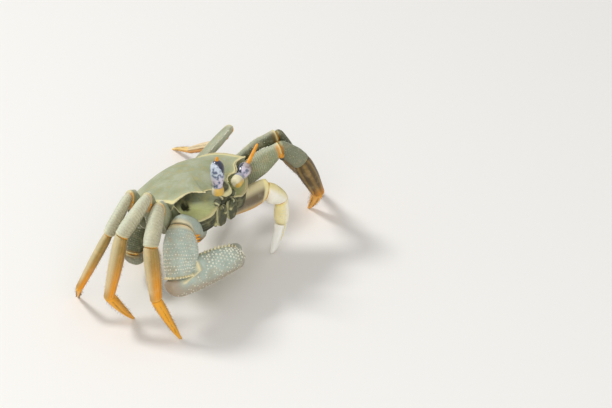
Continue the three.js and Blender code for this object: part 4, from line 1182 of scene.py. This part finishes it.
def legPaint(sideName, side, pairIndex, shapes):
    # the markings of the five plates: how warm, rim-coloured, dark and pale each place is, painted shade and
    # painted light included
    tone = legTones[sideName][pairIndex]
    darkness, shaded, paintedSkyLight = [tone.get(key, 0) for key in ("furrows", "shaded", "paintedSkyLight")]
    frontTurn = side * math.pi / 2  # the turn that faces the head

    def coxaMarks(place, turn):
        return (0.5, 0.3 * eased(place, 0.85, 0.95), 0.2, 0.3)

    def merusMarks(place, turn):
        under, front = underShare(turn), eased(math.cos(turn - frontTurn), -0.1, 0.6)
        rim, end = hump(place, 0.985, 0.012), eased(place, 0.91, 0.97)
        # painted shade on the underside, and on the front as much as the leg is shaded
        dark = (0.35 + 0.35 * shaded) * under * (1 - end) + shaded * front
        return (end * max(front, under), rim * (1 - under), dark,
                0.3 * hump(math.cos(turn), 1, 0.2) + 0.3 * end * (1 - front))

    def carpusMarks(place, turn):
        under, front = underShare(turn), eased(math.cos(turn - frontTurn), 0.0, 0.8)
        start, end = 1 - eased(place, 0.015, 0.05), hump(place, 0.985, 0.015)
        # painted light and shade: the right legs' carpi, on the lit side, are pale with painted shade round
        # their flanks, the left legs' carpi are painted dark as shaded, and all get painted shade underneath
        pale = (0.7 if side < 0 else 0.05) * (1 - under) * (1 - shaded)
        flank = 1 - hump(turn, -0.5 * frontTurn, 0.75) if side < 0 else 0
        knee = 1 - eased(place, 0.02, 0.13)
        gold = max(0.9 * start * front, 0.75 * knee * (side < 0), 0.2 * flank)
        dark = max(shaded, 0.5 if side > 0 else 0.25 * flank)
        return (gold + 0.5 * under, 0.3 * start * (1 - front) + 0.6 * end, 0.3 * under + dark,
                pale * (1 - 0.5 * flank))

    def propodusMarks(place, turn):
        front = eased(math.cos(turn - frontTurn), -0.5, 0.7)
        warm = eased(place, *tone["orange"]) * (0.65 + 0.35 * front)
        groove = 0.35 + 0.65 * (0.5 - 0.5 * math.cos(8.4 * turn))
        # painted light: a pale back on the right legs' shins, and pale on the side that faces the sky for the
        # leg with a lit top
        back = eased(-math.cos(turn - frontTurn), -0.3, 0.5) if side < 0 else 0
        pale = 0.5 * back * (1 - 0.8 * eased(place, 0.75, 0.95)) + 0.7 * paintedSkyLight * skyShare(shapes[3], turn)
        return (min(warm * (1 - 0.5 * back) + 0.12 * front, 1), 0.7 * hump(place, 0.985, 0.012),
                darkness * groove * (1 - 0.6 * warm), pale)

    def dactylMarks(place, turn):
        # paler towards the tip, and painted light on the side that faces the sky for the leg with a lit top
        return (0.85 - 0.3 * eased(place, 0.8, 1), 0, 0.3 * eased(place, 0.94, 1),
                0.3 * eased(place, 0.85, 1) + 0.7 * paintedSkyLight * skyShare(shapes[4], turn))

    return coxaMarks, merusMarks, carpusMarks, propodusMarks, dactylMarks


def merusTeeth(merus, chance):
    # saw teeth along the upper edge, and every second one repeated small on the lower edges
    first, last = legDress["toothSpan"]
    count = int(merus["length"] / legDress["toothGap"])
    seats = []
    for i in range(count):
        place = first + (last - first) * i / count
        seats.append(seatOn(merus, place, chance.uniform(-0.04, 0.04), 1.0, 0.05 * mm))
        if i % 2:
            seats += [seatOn(merus, place, turn, 0.75, 0.05 * mm) for turn in legDress["lowerEdges"]]
    return seats


def legGranules(merus, carpus, chance):
    # fine granules in loose rows round the upper half of both plates
    seats = []
    for shape, first, last, rows in ((merus, 0.2, 0.9, 8), (carpus, 0.08, 0.94, 9)):
        stations = int(shape["length"] * (last - first) / legDress["granuleGap"])
        for i in range(stations):
            for k in range(rows):
                turn = (math.pi * (k + 0.5 + 0.35 * (i % 2)) / rows - math.pi / 2) * legDress["granuleSpread"]
                place = first + (last - first) * (i + chance.uniform(-0.45, 0.45)) / stations
                seats.append(seatOn(shape, place, turn + chance.uniform(-0.13, 0.13),
                                    chance.uniform(0.4, 1.05), 0.04 * mm))
    return seats


def legBristles(propodus, dactyl, chance):
    # bristles in the furrows of shin and toe, leaning towards the tip
    seats = []
    for shape, first, last, furrows in ((propodus, 0.1, 0.95, "shinFurrows"),
                                        (dactyl, 0.05, 0.75, "toeFurrows")):
        stations = int(shape["length"] * (last - first) / legDress["bristleGap"])
        for turn in legDress[furrows]:
            for i in range(stations):
                place = first + (last - first) * (i + chance.random()) / stations
                point, facing, size = seatOn(shape, place, turn + chance.uniform(-0.1, 0.1),
                                             chance.uniform(0.6, 1.1))
                facing = (facing + shape["along"] * legDress["bristleLean"]).normalized()
                seats.append((point, facing, size))
    return seats


def buildLegs():
    chance = random.Random(5)
    for sideName, side in sides:
        for pairIndex in range(4):
            shapes, joints, headings, out, depth, thickness = legShapes(pairIndex, sideName, side)
            merus, carpus, propodus, dactyl = shapes[1:]
            name = f"{sideName}Leg{pairIndex + 1}"
            paints = legPaint(sideName, side, pairIndex, shapes)
            for shape, paint, (table, material, slot, rings) in zip(shapes, paints, legPlates):
                plate = table.removeprefix("leg")
                node = f"{sideName}_leg_{pairIndex + 1}_{plate.lower()}"
                settle(shapeMesh(name + plate.capitalize(), shape, rings, 32, paint), material, (node,))

            plugs = []
            for j, fill in enumerate(legDress["plugFill"], 1):
                halfHeight, halfThickness = profiles[legPlates[j - 1][0]][-1][1:3]
                fill *= min(legPoses[sideName][pairIndex].get("slim", 1), 1) if j > 2 else 1
                plugs.append(jointPlug(f"{name}Plug{j}", joints[j], headings[j - 1], headings[j], out,
                                       depth * halfHeight * fill, thickness * halfThickness * fill,
                                       depth * halfHeight * legDress["plugReach"]))
            settle(joined(name + "JointSkin", plugs), jointSkin, ())

            # the orange ball of each knee, on its front
            ball = legDress[sideName]
            seat = seatOn(merus, 0.985, side * math.pi / 2 * ball["ballTurn"], ball["ballSize"], 0.3 * mm)
            grow(name + "KneeBall", [seat], tubercleTree, jointSkin, 0.55, 0.6)
            grow(name + "MerusTeeth", merusTeeth(merus, chance), tubercleTree,
                 toothEnamel, 0.2, 0.34, variation=0.25, lean=0.15, seed=11 + pairIndex)
            grow(name + "Granules", legGranules(merus, carpus, chance), tubercleTree,
                 granuleEnamel, 0.15, 0.12, variation=0.3, lean=0.1, seed=21 + pairIndex)
            grow(name + "Bristles", legBristles(propodus, dactyl, chance), spineTree, bristle,
                 0.045, legDress["bristleLength"][pairIndex], variation=0.3, lean=0.2, seed=31 + pairIndex)
        print(sideName, "legs built")


def onRidge(turn):
    # the raised edge runs down from the crest over the outer face and ends above the heel
    return between(turn % (2 * math.pi), 0.0, 0.3, 1.6, 1.9)


def clawShapes(sideName, side):
    arm = clawArms[sideName]
    x, y, z = arm["base"]
    joints = [onBody(side * x, y, z)]
    headings = [heading(side, *angles) for angles in arm["pose"]]
    for along, length in zip(headings, arm["lengths"]):
        joints.append(joints[-1] + along * (length * width))
    elbow = bend(headings[0], headings[1], arm["elbowShare"])
    wrist = bend(headings[1], headings[2], arm["wristShare"], arm["wristClear"])
    out = headings[0].cross(Vector((0, 0, 1))).normalized()
    shapes = []
    for i, (key, before, after) in enumerate((("merus", None, elbow), ("carpus", elbow, wrist))):
        table = "claw" + key.capitalize()
        depth, thickness = [size * width for size in arm[key]]
        shapes.append(limbShape(joints[i], joints[i + 1], carried(out, headings[i]).cross(headings[i]),
                                profiles[table], depth, thickness, before, after,
                                ribs=ribs.get(table, ())))

    def palmRelief(place, turn):
        face = onRidge(turn) if side < 0 else 1
        return arm["ridgeHeight"] * face * hump(place, ridgePlace, 0.016)

    up, size = Vector(arm["handUp"]), arm["hand"] * width
    for key, before, relief in (("palm", wrist, palmRelief), ("finger", None, None)):
        shapes.append(limbShape(joints[2], joints[3], up, profiles[arm[key]], size, size, before,
                                swaySide=-side, relief=relief))
    return shapes, joints, headings, out


def largeClawPaint():
    # blue-grey, with a gold underside under painted shade, cream rims, and painted shade in brown-grey over
    # the heel, the far end of the hand and the fingers

    def merusMarks(place, turn):
        # a gold underside, darkened by painted shade
        under = eased(-math.cos(turn), 0.1, 0.7)
        return (0.8 * under, 0.9 * hump(place, 0.97, 0.02), 0.5 * under, 0.35 * eased(place, 0.88, 0.94))

    def carpusMarks(place, turn):
        start, band = 1 - eased(place, 0.02, 0.05), hump(place, 0.06, 0.03)
        return (0.75 * start + 0.1 * band, 0.5 * start + 0.5 * band, 0.25 * eased(place, 0.93, 0.97), 0)

    def palmMarks(place, turn):
        ridge = hump(place, ridgePlace, 0.015) * onRidge(turn)
        # painted shade over the heel and the far end of the hand, laid in brown-grey through the pale channel
        heel = between(turn % (2 * math.pi), 1.6, 2.2, 4.2, 4.6)
        return (0, min(1.2 * ridge, 1), 0, max(0.95 * heel, 0.7 * eased(place, 0.4, 0.66)) * (1 - ridge))

    def fingerMarks(place, turn):
        # the fingers carry some of the hand's painted shade
        return (0, 0, 0, 0.35)

    return merusMarks, carpusMarks, palmMarks, fingerMarks


def smallClawPaint():
    # ivory, on a merus that is brown above its gold underside, the brown deepened by painted shade that is
    # lighter on its top

    def merusMarks(place, turn):
        # the dark over the merus is partly its own brown and partly painted shade, eased on the top where the
        # light falls
        under, end = eased(-math.cos(turn), 0.1, 0.7), eased(place, 0.88, 0.94)
        top = eased(math.cos(turn), 0.3, 0.9)
        return (under * eased(place, 0.1, 0.4), 0.5 * end + 0.3 * top,
                0.9 * (1 - end) * (1 - under) * (1 - 0.5 * top), 0)

    def carpusMarks(place, turn):
        start, top = 1 - eased(place, 0.02, 0.05), eased(math.cos(turn), 0.2, 0.9)
        return (0.35 * start + 0.15 * hump(place, 0.2, 0.12), 0.5 * start + 0.6 * top, 0, 0.6 * (1 - top))

    def palmMarks(place, turn):
        top = eased(math.cos(turn), 0.0, 0.7) * (1 - eased(place, 0.6, 0.8))
        return (0, 0.5 * hump(place, ridgePlace, 0.015) + 0.5 * top, 0,
                (0.3 + 0.7 * eased(place, 0.3, 0.6)) * (1 - top))

    def fingerMarks(place, turn):
        return (0, 0, 0, 1)

    return merusMarks, carpusMarks, palmMarks, fingerMarks


# Tubercles of the claws: the first place and the stretch of carpus and of hand that they
# cover, how far round the carpus they reach, how many rows run along the hand and how far
# apart those turn, the gaps between stations and how many of a hundred places are filled
clawDress = {
    "carpusSpan": (0.14, 0.78), "carpusReach": 1.75, "carpusGap": 0.8, "carpusFilled": 90,
    "handSpan": (0.12, 0.52), "handRows": 11, "handRowTurn": 0.235, "handGap": 0.93, "handFilled": 93,
    "crestTeeth": 12, "rimTeeth": 15, "elbowSpines": 3,
    "merusPlug": 0.36, "carpusPlug": 0.3, "plugReach": 0.3,  # parts of the plate's sizes
}


def clawTubercles(arm, side, carpus, palm, facing, chance):
    scale, gap, reach = arm["tubercleSize"], arm["tubercleGap"], clawDress["carpusReach"]
    seats = []
    first, span = clawDress["carpusSpan"]
    stations = int(carpus["length"] * span / (clawDress["carpusGap"] * gap))
    count = int(0.3 * width * scale * reach / gap * arm["crowding"])
    for i in range(stations):
        place = first + span * i / stations
        for k in range(count):
            turn = facing + reach * (2 * (k + 0.5 * (i % 2)) / count - 1)
            if chance.random() < clawDress["carpusFilled"] / 100:
                seats.append(seatOn(carpus, place + chance.uniform(-0.01, 0.01), turn,
                                    scale * chance.uniform(0.6, 0.95) * (0.6 + 0.5 * place), 0.1 * mm))
    first, span = clawDress["handSpan"]
    stations, rows = int(palm["length"] * span / (clawDress["handGap"] * gap)), clawDress["handRows"]
    for i in range(stations):
        place = first + span * i / stations
        for k in range(rows):
            row = k + 0.5 * (i % 2) - rows // 2
            turn = -side * (math.pi / 2 + row * clawDress["handRowTurn"])
            high = eased(math.cos(turn), -0.6, 0.9)
            if chance.random() < clawDress["handFilled"] / 100:
                seats.append(seatOn(palm, place + chance.uniform(-0.006, 0.006),
                                    turn + chance.uniform(-0.03, 0.03),
                                    scale * (0.62 + 0.5 * high), 0.06 * mm))
    return seats


def dressLargeClaw(carpus, palm, facing):
    # blunt teeth on the crest of the hand and round the far edge of the carpus
    teeth, rim = clawDress["crestTeeth"], clawDress["rimTeeth"]
    seats = [seatOn(palm, 0.1 + 0.53 * i / teeth, 0.06, 0.9 + 0.4 * math.sin(math.pi * i / teeth), 0.1 * mm)
             for i in range(teeth + 1)]
    seats += [seatOn(carpus, 0.95, facing + 1.7 * (2 * i / rim - 1), 1.15, 0.08 * mm) for i in range(rim)]
    grow("rightClawTeeth", seats, spineTree, creamEnamel, 0.5, 0.95, variation=0.15, lean=0.1, seed=43)
    # orange spines on the inner side of the carpus, by the elbow
    spines = []
    for k in range(clawDress["elbowSpines"]):
        spot, way, size = seatOn(carpus, 0.1 + 0.06 * k, facing - 1.45, 1.3 - 0.25 * k, 0.1 * mm)
        spines.append((spot, (way + Vector((0.3, -0.3, 0))).normalized(), size))
    grow("rightClawElbowSpines", spines, spineTree, hornChitin, 0.62, 1.5, seed=44)


def buildClaws():
    chance = random.Random(9)
    for sideName, side in sides:
        arm = clawArms[sideName]
        shell, slot = arm["shell"], arm["slot"]
        shapes, joints, headings, out = clawShapes(sideName, side)
        carpus, palm = shapes[1:3]
        paints = largeClawPaint() if side < 0 else smallClawPaint()
        plates = (("merus", 30, 36), ("carpus", 40, 48), ("palm", 70, 48), ("finger", 40, 32))
        for shape, paint, (plate, rings, around) in zip(shapes, paints, plates):
            settle(shapeMesh(f"{sideName}Claw{plate.capitalize()}", shape, rings, around, paint), shell,
                   (f"{sideName}_claw_{plate}",))
        plugs = []
        for j, plate in ((1, "merus"), (2, "carpus")):
            high, thick = arm[plate]
            fill = clawDress[plate + "Plug"]
            plugs.append(jointPlug(f"{sideName}ClawPlug{j}", joints[j], headings[j - 1], headings[j], out,
                                   high * width * fill, thick * width * fill,
                                   high * width * clawDress["plugReach"]))
        settle(joined(sideName + "ClawJointSkin", plugs), jointSkin, ())

        # rows of tubercles round the carpus and along the hand, larger towards the crest
        facing = turnTowards(carpus, fromView(*arm["carpusFace"]))
        seats = clawTubercles(arm, side, carpus, palm, facing, chance)
        grow(sideName + "ClawTubercles", seats, tubercleTree, toothEnamel, 0.36, 0.36,
             variation=0.2, lean=0.08, seed=41)
        if side < 0:
            dressLargeClaw(carpus, palm, facing)
        print(sideName, "claw built")


# Mouth: the two ends, depth and breadth of the plate and of the small parts about it, in
# widths of the carapace
mouthPlate = ((0.073, -0.452, -0.118), (0.068, -0.43, -0.292), 0.022, 0.066)
mouthParts = [
    ("OuterBranch", (0.148, -0.43, -0.15), (0.13, -0.415, -0.28), 0.018, 0.026),
    ("PalpNear", (0.1, -0.462, -0.128), (0.062, -0.468, -0.12), 0.02, 0.02),
    ("PalpFar", (0.058, -0.468, -0.122), (0.03, -0.46, -0.2), 0.016, 0.018),
    ("FeelerBase", (0.03, -0.452, -0.02), (0.075, -0.456, -0.045), 0.03, 0.036),
    ("AntennaBase", (0.085, -0.45, -0.055), (0.125, -0.452, -0.085), 0.026, 0.03),
]


def mouthShape(side, first, second, depth, breadth, power=2, relief=None):
    start, stop = [onBody(side * x, y, z) for x, y, z in (first, second)]
    return limbShape(start, stop, bodyTurn @ Vector((0, -1, 0)), profiles["mouthPlate"], depth * width,
                     breadth * width, power=power, relief=relief)


def partMarks(place, turn):
    edge = hump(place, 0.8, 0.12)
    return (0, 0.5 * edge, 0.8 * (1 - edge), 0)


def plateMarks(place, turn):
    edge = hump(abs(math.sin(turn)), 1, 0.14)
    return (0.15 * eased(place, 0.6, 1), 0.45 * edge, 0.85 * (1 - edge), 0)


def plateRelief(place, turn):
    # a suture across the plate and a furrow down its middle
    return -0.25 * mm * hump(place, 0.4, 0.03) - 0.12 * mm * hump(math.cos(turn), 1, 0.12)


def buildMouth():
    for sideName, side in sides:
        plate = mouthShape(side, *mouthPlate, power=3, relief=plateRelief)
        settle(shapeMesh(sideName + "MouthPlate", plate, 40, 32, plateMarks), granulatedShell,
               (sideName + "_mouth_plate",))
        # beside it the outer branch, above it the joints of the palp, and the feelers' bases
        for label, *sizes in mouthParts:
            settle(shapeMesh(sideName + label, mouthShape(side, *sizes), 18, 20, partMarks),
                   granulatedShell, ())
    print("mouth built")


buildStudio()
buildCarapace()
buildUnderside()
buildEyes()
buildMouth()
buildClaws()
buildLegs()
